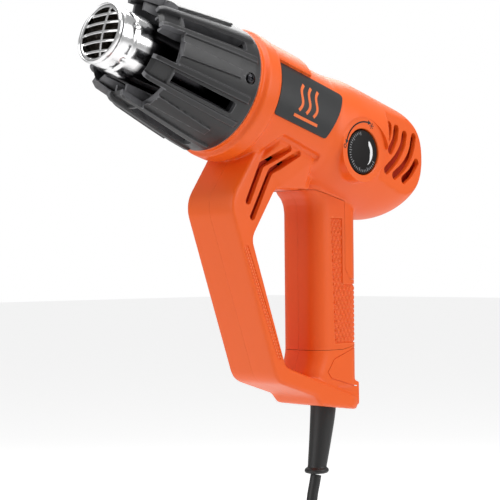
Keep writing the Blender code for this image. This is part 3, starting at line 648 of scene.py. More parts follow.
def makeTie():
    # closed strap round all the turns
    place = (Matrix.Translation((lead["coilX"] * mm, 0, lead["coilZ"] * mm))
             @ Matrix.Rotation(math.radians(tie["turn"]), 4, "Y"))
    low, high = lead["inner"] - tie["innerGap"], lead["outer"] + tie["gap"]
    wide, thick, broad = lead["half"] + tie["gap"], tie["thick"], tie["half"]
    middle = (low + high) / 2
    corners = [(-wide, low), (wide, low), (wide, high), (-wide, high)]
    inner = rounded([(y, z, tie["corner"]) for y, z in corners], 6)
    outer = rounded([(y + math.copysign(thick, y), z + math.copysign(thick, z - middle), tie["outerCorner"])
                     for y, z in corners], 6)
    rings = []
    for (y0, z0), (y1, z1) in zip(inner, outer):
        rings.append([(-broad, y0, z0), (broad, y0, z0), (broad, y1, z1), (-broad, y1, z1)])
    strap = bevel(skin("leadTie", rings, place, looped=True), tie["edge"], 2)
    return dress(strap, finishes["black_rubber"], stands=["lead_tie"])


leadPiece, leadExit, leadLength = makeLead()
dress(leadPiece, finishes["black_rubber"], stands=["mains_lead", "lead_coil"])
tuple(leadExit)
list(makePlug())
makeTie()
print("lead ready")


# Housing
housing = {
    "wall": 3.0, "panelDepth": 2.0, "seam": 0.12, "voxel": 0.88, "rounds": 5,
    "gripDepth": 20.0, "gripHalf": 18.0, "gripCorner": 11.0, "gripWall": 4.0, "guardHalf": 20.4,
    "end": 77, "topFade": (46, 2.5), "underFade": (32, 2.2),        # where the rounding starts, its power
    # radius along the barrel
    "waist": [(-95.5, 38.9), (-95.0, 39.5), (-94.2, 39.5), (-93.6, 38.5), (-91.0, 38.5), (-90.2, 40.7),
              (-89.2, 41.1), (-80.2, 41.1), (-79.0, 40.6), (-77.6, 38.2), (-76.6, 37.6), (-23, 37.6),
              (-21.2, 37.75), (-19.4, 38.3), (-16, 38.8), (-12, 39.4), (-8, 40.1), (-4, 40.55),
              (0, 40.7), (80, 40.7)],
    # front face of the grip, by height
    "gripFront": [(-57, -25.5), (-54.5, -24.8), (-52, -23.5), (-49, -22.1), (-46, -21.0), (-43, -20.3),
                  (-40, -20.0), (46, -20.0), (51, -20.8), (55, -22.8), (58, -26.0)]}
openings = {"reliefX": 2.4, "reliefRadius": 8.6,
            "switch": [(-3, 14, 0), (3, 14, 0), (3, 30, 0), (-3, 30, 0)], "front": 34.4}
flat = {"start": 23, "half": 34.0, "lean": 0.1, "taper": 0.085}      # flat panels that hold the vents
dialPlace = {"z": 83.5, "radius": 13.9, "padRadius": 19.0, "face": -38.5, "flatRadius": 22,
             "cupRadius": 17, "cupEnd": -30.8, "bore": 3.4,
             "recess": [(-60, 16.6), (-38.9, 15.4), (-38.5, 15.0), (-37.9, 14.6), (-32.5, 14.6)]}
pad = {"pitch": 3.4, "dot": 1.4, "rise": 0.95, "low": -0.88, "frame": 0.05, "frameWidth": 0.7,
       "grooveEnd": 1.3, "bottom": -37.5, "step": 1.2, "top": 43.0, "edge": 3.0, "wrap": 29.5,
       "left": -5.8, "lean": 3.2, "fadeStart": 10, "fadeEnd": 16, "fade": 0.55}


def fading(s, start, end, power):
    return 1.0 if s <= start else (1 - ((s - start) / (end - start)) ** power) ** (1 / power)


def flatDepth(s, h, inset=0.0):
    # half width of the housing across its flat vent panels
    return flat["half"] - flat["lean"] * h - flat["taper"] * (s - flat["start"]) - inset


def barrelRings(stations, inset, rearEnd=housing["end"], count=96):
    # rings of the barrel's outside, moved in by the inset
    topStart, topPower = housing["topFade"]
    underStart, underPower = housing["underFade"]
    rings = []
    for s in stations:
        radius = between(s, housing["waist"]) - inset
        top = radius * fading(s, topStart, rearEnd, topPower)
        under = radius * fading(s, underStart, rearEnd, underPower)
        ring = []
        for i in range(count):
            angle = 2 * math.pi * i / count
            y, h = top * math.sin(angle), math.cos(angle)
            h *= top if h > 0 else under
            if s > flat["start"] - inset:
                limit = flatDepth(s, h, inset)
                y = max(-limit, min(limit, y))
            ring.append((s, y, h))
        rings.append(ring)
    return rings


def gripRings(inset, low, high, steps=10):
    # rounded rectangle that spreads forward at both ends
    stations = [(low, -25.5)] + housing["gripFront"] + [(high, -29.0)]
    half, deep = housing["gripHalf"] - inset, housing["gripDepth"] - inset
    corner = housing["gripCorner"] - inset
    rings = []
    for z, front in stations:
        corners = [(front + inset, -half, corner), (front + inset, half, corner), (deep, half, corner),
                   (deep, -half, corner)]
        rings.append([(x, y, z) for x, y in rounded(corners, steps)])
    return rings


def panelOutline(shrink):
    return rounded([(-40, 60.5 - shrink, 0), (-21, 60 - shrink, 0), (5 - shrink, 53.5 - shrink, 2),
                    (5 - shrink, 11 - shrink, 3), (9, 4 - shrink, 3), (30, 3 - shrink, 0),
                    (30, -36 + shrink, 0), (2, -41 + shrink, 6), (-40, -41 + shrink, 0)])


guard = {
    "outline": [(-60, 96, 0), (-67, 96, 0), (-98.5, 50.5, 18), (-59.3, -58.4, 13), (-25.5, -69, 3),
                (-20, -75.2, 3), (20, -80.6, 2), (20, -73.6, 2), (-51.5, -49.2, 6), (-79.6, 29.2, 8),
                (-59.5, 59.2, 5), (-30, 59.2, 0), (-20, 96, 0)],
    "hollow": [(-62, 92, 0), (-66, 92, 0), (-95.3, 50, 15), (-57.6, -55, 9), (-27, -65.4, 0), (-27, -61, 0),
               (-52.9, -52.6, 5), (-83, 30, 9), (-58.5, 66.5, 0), (-45, 66.5, 0), (-45, 80, 0)],
    "slots": [[(-83.5, 51.3), (-72.3, 73.2), (-55.5, 83.4)], [(-80, 42), (-64.6, 70), (-47.5, 80.6)]],
    "slotWidth": 4.0, "hollowHalf": 17.6,
    "strip": [(-85.2, 23.0), (-58.0, -42.6)], "stripWidth": 4.0, "stripFloor": 20.0,
    "plan": [(-130, -20.4, 0), (-130, 20.4, 0), (20, 20.4, 12), (20, -20.4, 12)]}
# fold over the guard's shoulder: its outline on the barrel and how deep it may go
fold = {"outline": [(-26.5, -20.8, 0), (-60.8, -19.2, 2), (-65.5, -25.8, 0), (-67.4, -30.5, 0),
                    (-69.2, -39, 0), (-26.5, -39, 0)], "depth": 2.6}
ledge = {"radius": 40.4, "half": 0.981, "front": -79, "rear": -48}   # raised band along the barrel's top
# wedge between barrel and guard, corners on one side: along, out, across
wedge = [(-59.2, 28.0, -23.4), (-29, 28.0, -24.4), (-24.6, 24.0, -24.6), (-66.0, 20.4, -37.5),
         (-25, 20.4, -41.0), (-44, 20.4, -46), (-58, 15, 0), (-30, 15, 0)]
heel = {"outline": [(-30, -58, 0), (18.6, -62, 0), (18.8, -77, 1), (-20, -73, 0)], "half": 17.3}
inlay = {"path": [(30, -39.8), (12.0, -40.6), (-6.0, -46.6), (-12.2, -54.6), (-8.6, -58.8), (12.0, -64.4),
                  (30, -66)], "width": 0.55, "depth": 0.5}
vents = {"width": 5.5, "paths": [
    [(29.2, 18.3), (30.0, 14.5), (29.4, 10.2)],
    [(37.6, 19.0), (37.2, 11.0), (33.6, 2.8)],
    [(47.3, 18.3), (46.2, 9.5), (40.5, -1.0), (31.6, -11.4)],
    [(57.8, 20.3), (56.4, 9.0), (50.5, -2.0), (41.0, -12.0)],
    [(63.6, 4.4), (58.5, -4.2), (51.4, -11.4)]]}
screws = {                     # x, z, boss radius, reach of the boss, seat of the head
    "guard_upper": (-85.5, 36.0, 3.9, 18.6, 16.0), "guard_lower": (-55.2, -53.0, 3.9, 18.6, 16.0),
    "grip_upper": (12.0, 41.0, 3.9, 15.2, 13.5), "grip_lower": (-13.0, -50.0, 3.9, 15.2, 13.5),
    "rear_upper": (53.5, 104.0, 4.2, 28.6, 24.0), "rear_lower": (47.0, 56.5, 4.2, 25.5, 21.0)}
holes = {"pilot": 1.7, "clearance": 1.8, "counterbore": 3.1}
posts = {"x": (-4.5, 10.5), "z": -47, "radius": 2.7, "low": -14.6, "high": 3.5, "pilot": 1.6}
# webs behind the slots: near and far faces, as half widths or as insets from the barrel
webs = {"vent": (20.6, 21.8), "ventArea": [(24.5, 34, 0), (74, 34, 0), (74, -34, 0), (24.5, -34, 0)],
        "guard": (14.2, 15.4), "guardArea": ((-110, -20, 28), (-30, 20, 100)), "fanRoom": 3.4,
        "sleeve": (3.2, 3.6)}


def steps(start, end, count):
    return [start + (end - start) * i / count for i in range(count + 1)]


def makeBody():
    # the whole housing as one solid skin
    stations = steps(-95.5, -76, 40) + steps(-74, 22.9, 48) + [23.1] + steps(25, 46, 11) + steps(47, 74, 28)
    shell = skin("shell", barrelRings(stations, 0, count=160), barrelPlace)
    for side in (-1, 1):
        trench = prism("fold", rounded(fold["outline"], 4), *sorted((side * 8, side * 45)), barrelPlace)
        floor = barrelRings([-76, -20], fold["depth"], count=160)
        cut(trench, skin("foldFloor", floor, barrelPlace))
        cut(shell, trench)
    band = [(ledge["radius"] * math.sin(a), ledge["radius"] * math.cos(a))
            for a in steps(-ledge["half"], ledge["half"], 40)]
    top = skin("ledge", [[(s, y, h) for y, h in band] for s in (ledge["front"], ledge["rear"])], barrelPlace)
    prow = prism("guard", rounded(guard["outline"], 14), -housing["guardHalf"], housing["guardHalf"])
    plan = rounded(guard["plan"], 12)
    keepInside(prow, skin("plan", [[(x, y, z) for x, y in plan] for z in (-90, 110)]))
    remesh(prow, housing["voxel"], 16)
    boss = hull("boss", [(s, side * y, h) for side in (-1, 1) for s, y, h in wedge], barrelPlace)
    grip = skin("grip", gripRings(0, -64, 62))
    foot = prism("heel", rounded(heel["outline"], 6), -heel["half"], heel["half"])
    centre = (0, 0, dialPlace["z"])
    seat = rod("dialSeat", "Y", centre, dialPlace["padRadius"], dialPlace["face"] - 1.5, -20, 96)
    whole = gather("body", [shell, top, prow, boss, grip, foot, seat])
    body = remesh(whole, housing["voxel"], housing["rounds"])
    return cut(body, rod("seatFlat", "Y", centre, dialPlace["flatRadius"], -60, dialPlace["face"], 64))


def surfaceOf(piece):
    graph = bpy.context.evaluated_depsgraph_get()
    tree = BVHTree.FromObject(piece, graph)

    def depth(x, z, side):
        # y of the outside surface seen from that side
        hit = tree.ray_cast(Vector((x * mm, side * 0.09, z * mm)), Vector((0, -side, 0)))[0]
        return side * 20.0 if hit is None else hit.y / mm
    return depth


def barrelPoint(s, h):
    # side view place of a point given along and across the barrel
    point = barrelPlace @ Vector((s * mm, 0, h * mm))
    return point.x / mm, point.z / mm


def slotCutter(path, width, side, depth, reach):
    # slot through the wall with softened edges, which follow the surface
    rings = []
    centre = [depth(x, z, side) for x, z in sides(path, width)]
    for extra, lift in ((1.5, 2.0), (0.55, 0.15), (0.2, -0.25), (0.0, -0.75), (0.0, -reach)):
        outline = sides(path, width + extra)
        rings.append([(x, y + side * lift, z) for (x, z), y in zip(outline, centre)])
    return skin("slot", rings)


def gripGroove(outline, width, depthIn, side):
    # fine line sunk into the grip's surface along an open path in the side view
    line = prism("line", sides(outline, width, 4), *sorted((side * 0.2, side * 40)))
    keepInside(line, skin("over", gripRings(-1.5, -66, 60)))
    return cut(line, skin("under", gripRings(depthIn, -70, 64)))


def padPlace(u, lift, side):
    # u runs along the grip's surface from x = 0, round the corner and over the rear
    corner, half = housing["gripCorner"], housing["gripHalf"]
    straight, quarter = housing["gripDepth"] - corner, corner * math.pi / 2
    if u <= straight:
        return u, side * (half + lift)
    angle = min((u - straight) / corner, math.pi / 2)
    over = max(0.0, u - straight - quarter)
    x = straight + (corner + lift) * math.sin(angle)
    return x, side * (half - corner + (corner + lift) * math.cos(angle) - over)


def padLeft(z):
    return pad["left"] - pad["lean"] * (z - pad["bottom"]) / (pad["top"] - pad["bottom"])


def padHeight(u, z):
    # frame, groove, then rows of staggered dots
    inner = [u - padLeft(z), z - pad["bottom"], pad["top"] - z]
    inner.append(pad["edge"] - u if z > pad["step"] else pad["wrap"] - u)
    if u > pad["edge"]:
        inner.append(pad["step"] - z)
    rim = min(inner)
    if rim < pad["frameWidth"]:
        return pad["frame"]
    if rim < pad["grooveEnd"]:
        return pad["low"]
    step = pad["pitch"] * 0.866             # rows of a triangular lattice
    row = round((z - pad["bottom"]) / step)
    shift = 0.5 * pad["pitch"] * (row % 2)
    column = round((u - shift) / pad["pitch"])
    distance = math.hypot(u - shift - column * pad["pitch"], z - pad["bottom"] - row * step)
    shallow = 1 - pad["fade"] * smoothStep(u, pad["fadeStart"], pad["fadeEnd"])
    return shallow * (pad["low"] + pad["rise"] * max(0.0, 1 - (distance / pad["dot"]) ** 4))


def padSolid(name, side, grain, outer, inner):
    # closed solids between two surfaces over the pad's upper and lower area
    parts = []
    for low, high, right in ((pad["bottom"], pad["step"], pad["wrap"]),
                             (pad["step"], pad["top"], pad["edge"])):
        rows, columns = round((high - low) / grain), round((right - padLeft(low)) / grain)
        grid, points, faces = {}, [], []
        for i in range(rows + 1):
            z = low + (high - low) * i / rows
            for j in range(columns + 1):
                u = padLeft(z) + (right - padLeft(z)) * j / columns
                for k, reach in enumerate((outer(u, z), inner)):
                    x, y = padPlace(u, reach, side)
                    grid[i, j, k] = len(points)
                    points.append((x, y, z))
        for i in range(rows):
            for j in range(columns):
                for k in (0, 1):
                    faces.append((grid[i, j, k], grid[i, j + 1, k],
                                  grid[i + 1, j + 1, k], grid[i + 1, j, k]))
        for i in range(rows):
            for j in (0, columns):
                faces.append((grid[i, j, 0], grid[i + 1, j, 0], grid[i + 1, j, 1], grid[i, j, 1]))
        for j in range(columns):
            for i in (0, rows):
                faces.append((grid[i, j, 0], grid[i, j + 1, 0], grid[i, j + 1, 1], grid[i, j, 1]))
        parts.append(addMesh(name, points, faces))
    return parts


def makeHousing():
    body = makeBody()
    depth = surfaceOf(body)
    cover = twin(body, "cover")
    # inside
    stations = [-97, -80, -77.6, -76.6, -24, -10, 2, 19.7, 19.9, 34, 44, 52, 58, 63, 67, 71]
    inset = housing["wall"] + 0.2
    cut(body, skin("space", barrelRings(stations, inset, 73.5, 64), barrelPlace),
        rod("frontSpace", "X", (0, 0, 0), openings["front"], -99, -70, 64, barrelPlace),
        skin("gripSpace", gripRings(housing["gripWall"], -62, 61, 4)),
        prism("guardSpace", rounded(guard["hollow"], 5), -guard["hollowHalf"], guard["hollowHalf"]))
    # openings
    for side in (-1, 1):
        for path in vents["paths"]:
            places = [barrelPoint(s, h) for s, h in smoothLine(path, 5)]
            cut(body, slotCutter(places, vents["width"], side, depth, 12))
        for path in guard["slots"]:
            tool = slotCutter(path, guard["slotWidth"], side, depth, 12)
            cut(body, cut(tool, skin("wallLeft", barrelRings([-76, -20], 2.9), barrelPlace)))
        ends = sorted((side * guard["stripFloor"], side * 30))
        cut(body, prism("strip", sides(guard["strip"], guard["stripWidth"]), *ends))
    cut(body, rod("reliefHole", "Z", (openings["reliefX"], 0, 0), openings["reliefRadius"], -90, -60))
    slot = rounded(openings["switch"])
    cut(body, skin("switchSlot", [[(x, y, z) for y, z in slot] for x in (14, 26)]))
    # recess for the grip panels
    for side in (-1, 1):
        recess = skin("recess", gripRings(-2, -64, 62))
        keepInside(recess, prism("edge", panelOutline(0), *sorted((side * 40, side * 0.0))))
        cut(recess, skin("floor", gripRings(2.3, -66, 64)))
        cut(body, recess)
        cut(body, gripGroove(inlay["path"], inlay["width"], inlay["depth"], side))
    halves = {}
    for side, name in ((-1, "housingLeft"), (1, "housingRight")):
        half = twin(body, name)
        low, high = sorted((side * 200, side * housing["seam"] / 2))
        halves[side] = keepInside(half, block("sideOf", (-200, low, -200), (200, high, 200)))
    bpy.data.objects.remove(body)
    left, right = halves[-1], halves[1]
    # webs behind the slots, in a darker copy of the orange plastic as painted shade
    for side in halves:
        faces = sorted(side * face for face in webs["vent"])
        web = prism("ventWeb", rounded(webs["ventArea"]), *faces, barrelPlace)
        limit = barrelRings([21.7, 34, 44, 52, 58, 63, 67, 71], 1.4, 75, 64)
        keepInside(web, skin("limit", limit, barrelPlace))
        faces = sorted(side * face for face in webs["guard"])
        shoulder = prism("guardWeb", rounded(guard["hollow"], 5), *faces)
        keepInside(shoulder, block("upper", *webs["guardArea"]))
        cut(shoulder, skin("fanRoom", barrelRings([-80, -20], webs["fanRoom"]), barrelPlace))
        outer, inner = webs["sleeve"]
        sleeve = skin("sleeve", barrelRings([-77.5, -76.5, -30], outer), barrelPlace)
        cut(sleeve, skin("bore", barrelRings([-80, -20], inner), barrelPlace))
        low, high = sorted((side * 0.2, side * 40))
        keepInside(sleeve, block("below", (-76.4, low, -40), (-36, high, -12), barrelPlace))
        name = "innerWebsLeft" if side < 0 else "innerWebsRight"
        dress(gather(name, [web, shoulder, sleeve]), finishes["orangeInside"])
    # dial cup, screw bosses and clamp posts
    z = dialPlace["z"]
    unite(left, rod("cup", "Y", (0, 0, z), dialPlace["cupRadius"], dialPlace["face"] + 0.4,
                    dialPlace["cupEnd"]))
    recess = [(-60, 0)] + dialPlace["recess"] + [(-32.5, 0)]
    turn = Matrix.Translation((0, 0, z * mm)) @ Matrix.Rotation(math.pi / 2, 4, "Z")
    cut(left, turned("dialRecess", recess, 96, turn),
        rod("dialBore", "Y", (0, 0, z), dialPlace["bore"], -40, -20))
    for x, z, radius, reach, seat in screws.values():
        unite(left, rod("boss", "Y", (x, 0, z), radius, -reach, -housing["seam"] / 2, 32))
        unite(right, rod("boss", "Y", (x, 0, z), radius, housing["seam"] / 2, reach, 32))
        cut(left, rod("pilot", "Y", (x, 0, z), holes["pilot"], -12, 5, 20))
        cut(right, rod("clearance", "Y", (x, 0, z), holes["clearance"], -5, seat + 1, 20),
            rod("counterbore", "Y", (x, 0, z), holes["counterbore"], seat, 60, 40))
    for x in posts["x"]:
        centre = (x, 0, posts["z"])
        unite(left, rod("post", "Y", centre, posts["radius"], posts["low"], posts["high"], 32))
        cut(left, rod("pilot", "Y", centre, posts["pilot"], -6, 8, 20))
    dress(left, finishes["orange_shell"], stands=["housing_left"])
    dress(right, finishes["orange_shell"], stands=["housing_right"])
    # grip panels, flush with the body around them
    for side, name, node in ((-1, "gripPanelLeft", "grip_panel_left"),
                             (1, "gripPanelRight", "grip_panel_right")):
        panel = twin(cover, name)
        edge = prism("edge", panelOutline(0.3), *sorted((side * 40, side * housing["seam"] / 2)))
        keepInside(panel, edge)
        cut(panel, skin("back", gripRings(housing["panelDepth"], -66, 64)),
            *padSolid("padBed", side, 2.0, lambda u, z: 3.0, -1.1))
        dress(panel, finishes["orange_grip"], stands=[node])
    bpy.data.objects.remove(cover)
    for piece in (left, right):
        print(piece.name, len(piece.data.polygons), "faces")
    return depth


surfaceDepth = makeHousing()
print("housing ready")


# Shroud
shroud = {
    "outside": [(-95.9, 39.2), (-100, 39.2), (-112, 38.2), (-123, 36.8), (-138, 34.7), (-152, 32.7),
                (-165.5, 30.8), (-167, 30.4)],
    "inside": [(-167, 27.8), (-152, 30.0), (-138, 32.0), (-123, 34.1), (-112, 35.5), (-107.6, 36.2),
               (-95.9, 36.4)],
    "slots": 6, "slotWidth": 7.2, "slotFront": -151.5, "slotRear": -106.5,
    "rim": 1.5, "rimInner": 9.2, "rimOuter": 15.2, "rimEnd": (-100.5, -98.0),
    "bar": 1.5, "barRear": -110.0, "barHalf": [(-152, 4.5), (-110, 2.9)],
    "tabHalf": 13.0, "tabDrop": 1.5, "tabRear": -153.5, "noseStart": 163.5, "noseEnd": 167.0,
    "noseDrop": 1.2, "notchFront": -172.0, "notchRear": -152.0, "notchHalf": 16.5, "sides": 720,
    # deep wall beside each slot: along, out from the axis
    "wall": [(-163.5, 22.5), (-163.5, 27.6), (-152, 30.4), (-138, 33), (-123, 35.1), (-112, 36.4),
             (-100, 37), (-100, 35.4), (-112, 28), (-150, 22.5)], "wallThick": 1.5,
    "screwAt": -103, "screwHole": 1.9, "dish": 3.7}


def shroudRadius(s, r, angle):
    # ribs on both sides of each slot, a bar along the middle of each panel, lower bridges in front
    pitch = 360 / shroud["slots"]
    turn = abs((math.degrees(angle) + pitch / 2) % pitch - pitch / 2)         # from a panel's middle
    fromSlot = pitch / 2 - turn
    rim = smoothStep(fromSlot, shroud["rimInner"] - 1, shroud["rimInner"])
    rim *= 1 - smoothStep(fromSlot, shroud["rimOuter"] - 1, shroud["rimOuter"])
    rim *= 1 - smoothStep(s, *shroud["rimEnd"])
    across = math.radians(turn) * r
    half = between(s, shroud["barHalf"])
    bar = 1 - smoothStep(across, half - 0.6, half)
    bar *= 1 - smoothStep(s, shroud["barRear"] - 0.8, shroud["barRear"])
    tab = 1 - smoothStep(fromSlot, shroud["tabHalf"] - 5, shroud["tabHalf"] - 4)
    tab *= 1 - smoothStep(s, shroud["tabRear"], shroud["tabRear"] + 1.0)
    nose = smoothStep(-s, shroud["noseStart"], shroud["noseEnd"])
    return (r + rim * shroud["rim"] + bar * shroud["bar"] - tab * shroud["tabDrop"]
            - nose * shroud["noseDrop"])


def makeShroud():
    front = (steps(-167, -155, 12) + steps(-154, -150, 8) + steps(-148, -112, 18) + steps(-111.2, -109.6, 6)
             + steps(-107, -102, 4) + steps(-101, -95.9, 12))
    outside = [(s, between(s, shroud["outside"][::-1])) for s in front]
    rings = []
    for i in range(shroud["sides"]):
        angle = 2 * math.pi * i / shroud["sides"]
        ring = []
        for s, r in outside:
            reach = shroudRadius(s, r, angle)
            ring.append((s, -reach * math.cos(angle), -reach * math.sin(angle)))
        for s, r in shroud["inside"][::-1]:
            ring.append((s, -r * math.cos(angle), -r * math.sin(angle)))
        rings.append(ring)
    cage = skin("heatShroud", rings, barrelPlace, looped=True)
    half = shroud["slotWidth"] / 2
    pitch = 2 * math.pi / shroud["slots"]
    for i in range(shroud["slots"]):
        turn = barrelPlace @ Matrix.Rotation(pitch * (i + 0.5), 4, "X")
        # deep walls on both sides of the slot, then the slot itself
        for side in (-1, 1):
            faces = sorted((side * (half - 0.1), side * (half + shroud["wallThick"])))
            unite(cage, skin("wall", [[(s, -r, z) for s, r in shroud["wall"]] for z in faces], turn))
        ends = [(shroud["slotFront"], -half, 0.8), (shroud["slotRear"], -half, 1.6),
                (shroud["slotRear"], half, 1.6), (shroud["slotFront"], half, 0.8)]
        cut(cage, skin("slot", [[(s, y, z) for s, z in rounded(ends, 6)] for y in (-48, -22)], turn))
        # open front of the panel between two slots
        turn = barrelPlace @ Matrix.Rotation(pitch * i, 4, "X")
        reach = math.radians(shroud["notchHalf"])
        arc = steps(-reach, reach, 12)
        outline = [(-20 * math.cos(a), 20 * math.sin(a)) for a in arc]
        outline += [(-46 * math.cos(a), 46 * math.sin(a)) for a in reversed(arc)]
        cut(cage, skin("notch", [[(s, y, z) for y, z in outline]
                                 for s in (shroud["notchFront"], shroud["notchRear"])], turn))
    for side in (-1, 1):
        ends = sorted((side * 25, side * 50))
        centre = (shroud["screwAt"], 0, 0)
        cut(cage, rod("hole", "Y", centre, shroud["screwHole"], *ends, 32, barrelPlace),
            rod("dish", "Y", centre, shroud["dish"], *sorted((side * 38.0, side * 50)), 40, barrelPlace))
    print("shroud", len(cage.data.polygons), "faces")
    return dress(cage, finishes["black_shroud"], stands=["heat_shroud"])


makeShroud()
print("shroud ready")


# Nozzle and grille
nozzle = {
    "outside": [(-82.6, 27.0), (-84, 27.0), (-84, 19.0), (-152, 19.0), (-165, 18.8), (-171.5, 18.6),
                (-173.0, 18.5), (-174.0, 18.1), (-174.8, 17.9), (-175.6, 17.9), (-176.8, 18.05),
                (-178, 18.1), (-182.0, 17.9), (-183.0, 17.6), (-183.5, 17.45), (-184.0, 17.6),
                (-184.5, 18.0), (-185.2, 18.25), (-186.2, 18.25), (-186.9, 18.0), (-187.2, 17.6)],
    "inside": [(-187.0, 17.2), (-186.4, 16.95), (-183, 16.95), (-176, 16.9), (-165, 17.8), (-152, 18.2),
               (-82.6, 18.2)],
    "dents": 5, "dentTurn": 49.3, "dentAt": -174.6, "dentDepth": 1.3, "dentLong": 1.5,
    "dentWide": 1.2, "dentZone": (-182, -166), "inner": 17.4, "sides": 300}


def nozzleRadius(s, r, angle):
    # pressed dents that stop the heater's core, spaced round the crease
    front, rear = nozzle["dentZone"]
    if r < nozzle["inner"] or not front < s < rear:
        return r
    pitch = 360 / nozzle["dents"]
    turn = (math.degrees(angle) - nozzle["dentTurn"] + pitch / 2) % pitch - pitch / 2
    along = (s - nozzle["dentAt"]) / nozzle["dentLong"]
    across = math.radians(turn) * r / nozzle["dentWide"]
    return r - nozzle["dentDepth"] * math.exp(-along ** 2 - across ** 2)


def makeNozzle():
    outside = []
    for (s0, r0), (s1, r1) in zip(nozzle["outside"], nozzle["outside"][1:]):
        count = max(1, round(abs(s1 - s0) / 0.7)) if s0 <= -165 else 1
        outside += [(s0 + (s1 - s0) * i / count, r0 + (r1 - r0) * i / count) for i in range(count)]
    outside.append(nozzle["outside"][-1])
    tube = turned("nozzleTube", outside + nozzle["inside"], nozzle["sides"], barrelPlace, nozzleRadius)
    # the tube's rear is darkened with painted shade inside the shroud
    dress(tube, finishes["heatedSteel"], stands=["nozzle_tube"], angle=50)


grille = {"front": -187.0, "radius": 16.6, "dome": 1.6, "sag": 2.2, "rungs": 5, "pitch": 5.6,
          "half": 0.85, "thick": 0.9, "upright": -3.8}


def domed(y, h):
    # how far forward the lattice stands at a place across the outlet
    return grille["front"] + grille["dome"] - grille["sag"] * (1 - (y * y + h * h) / grille["radius"] ** 2)


def strip(name, path, width):
    # flat bar with rounded front edges along places (y, h) on the dome
    section = [(-0.5, 0.0), (-0.5, 0.55), (-0.32, 0.9), (0.0, 1.0), (0.32, 0.9), (0.5, 0.55), (0.5, 0.0)]
    rings = []
    for i, (y, h) in enumerate(path):
        y0, h0 = path[max(i - 1, 0)]
        y1, h1 = path[min(i + 1, len(path) - 1)]
        along = Vector((y1 - y0, h1 - h0)).normalized()
        side = Vector((-along.y, along.x)) * width
        rings.append([(domed(y, h) + grille["thick"] * (1 - up), y + side.x * off, h + side.y * off)
                      for off, up in section])
    return skin(name, rings, barrelPlace)


def makeGrille():
    r = grille["radius"]
    low, high = grille["front"] + 0.5, grille["front"] + 2.4
    ring = [(high, r + 0.2), (low + 0.3, r + 0.2), (low, r - 0.1), (low, r - 0.9),
            (low + 0.3, r - 1.3), (high, r - 1.3)]
    bars = [turned("rim", ring, 128, barrelPlace)]
    for i in range(grille["rungs"]):
        h = (i - (grille["rungs"] - 1) / 2) * grille["pitch"]
        half = math.sqrt((r - 0.4) ** 2 - (abs(h) + 0.5) ** 2)
        bars.append(strip("rung", [(y, h) for y in steps(-half, half, 24)], grille["half"] * 2))
    middle = [(grille["upright"], h) for h in steps(-r + 0.8, r - 0.8, 24)]
    bars.append(strip("upright", middle, grille["half"] * 2.1))
    lattice = bars[0]
    unite(lattice, *bars[1:])
    lattice.name = "outletGrille"
    dress(lattice, finishes["polished_steel"], stands=["outlet_grille"])


makeNozzle()
makeGrille()
print("nozzle ready")


# Badge plates
badge = {"outline": [(-76, 21.7, 2), (-18.5, 21.2, 2), (-30.6, -11.8, 2), (-77, -11.8, 2)],
         "radius": 38.35, "back": 37.2, "mark": 0.1}
# waves of warm air over a line, along and across the barrel
warmSign = {"waves": 3, "first": -58, "pitch": 6.5, "swing": 1.5, "lean": 2, "low": -3.5, "height": 17,
            "width": 2.0, "lineAt": -7.2, "lineEnds": (-62, -41), "lineWidth": 1.8}


def onPlate(side, s, h, lift):
    # a flat drawing bent round the barrel, its height kept
    reach = badge["radius"] + lift
    return s, side * math.sqrt(reach ** 2 - h * h), h


def inked(name, side, path, width):
    # raised printed line on a plate
    rings = []
    points = [Vector(p) for p in path]
    for i, point in enumerate(points):
        along = (points[min(i + 1, len(points) - 1)] - points[max(i - 1, 0)]).normalized()
        across = Vector((-along.y, along.x)) * width / 2
        a, b = point + across, point - across
        rings.append([onPlate(side, a.x, a.y, -0.3), onPlate(side, a.x, a.y, badge["mark"]),
                      onPlate(side, b.x, b.y, badge["mark"]), onPlate(side, b.x, b.y, -0.3)])
    return skin(name, rings, barrelPlace)


def makeBadges():
    for side, name, node in ((-1, "badgeLeft", "badge_left"), (1, "badgeRight", "badge_right")):
        plate = turned(name, [(-80, badge["back"]), (-80, badge["radius"]), (-10, badge["radius"]),
                              (-10, badge["back"])], 360, barrelPlace)
        ends = sorted((side * 10, side * 60))
        keepInside(plate, prism("edge", rounded(badge["outline"], 8), *ends, barrelPlace))
        dress(plate, finishes["badge_grey"], stands=[node])
        marks = []
        for wave in range(warmSign["waves"]):
            s0 = warmSign["first"] + warmSign["pitch"] * wave
            path = [(s0 + warmSign["swing"] * math.sin(2 * math.pi * t) + (t - 0.5) * warmSign["lean"],
                     warmSign["low"] + warmSign["height"] * t) for t in steps(0, 1, 32)]
            marks.append(inked("wave", side, path, warmSign["width"]))
        base = [(s, warmSign["lineAt"]) for s in steps(*warmSign["lineEnds"], 12)]
        marks.append(inked("base", side, base, warmSign["lineWidth"]))
        drawing = gather(name + "Mark", marks)
        dress(drawing, finishes["printOrange"])


makeBadges()
print("badges ready")


# Dial, its printed marks and a painted highlight
dial = {"face": 38.2, "ribs": 48, "ribHeight": 0.16, "markDeep": -0.2, "markHigh": 0.07}
scale = {"ticks": 31, "start": 100, "pitch": 7.6, "longFrom": 10.6, "from": 11.4, "to": 12.4, "width": 0.5,
         "longEvery": 5}
# painted highlight on the dial's face, a white crescent
crescent = {"radius": 9.1, "low": -62, "high": 50, "thin": 0.3, "thick": 2.1}
dialTurn = Matrix.Translation((0, 0, dialPlace["z"] * mm)) @ Matrix.Rotation(-math.pi / 2, 4, "Z")


def dialRadius(s, r, angle):
    # fine ribs round the dial's side
    ribbed = 33.2 < s < 37.6 and r > 10
    return r + (dial["ribHeight"] * math.cos(dial["ribs"] * angle) if ribbed else 0.0)


def flatMark(outline):
    # flat shape on the dial's face, for the printed marks and the painted highlight: its X is the tool's X
    # and its Y is up
    return skin("mark", [[(dial["face"] + y, x, z) for x, z in outline]
                         for y in (dial["markDeep"], dial["markHigh"])], dialTurn)


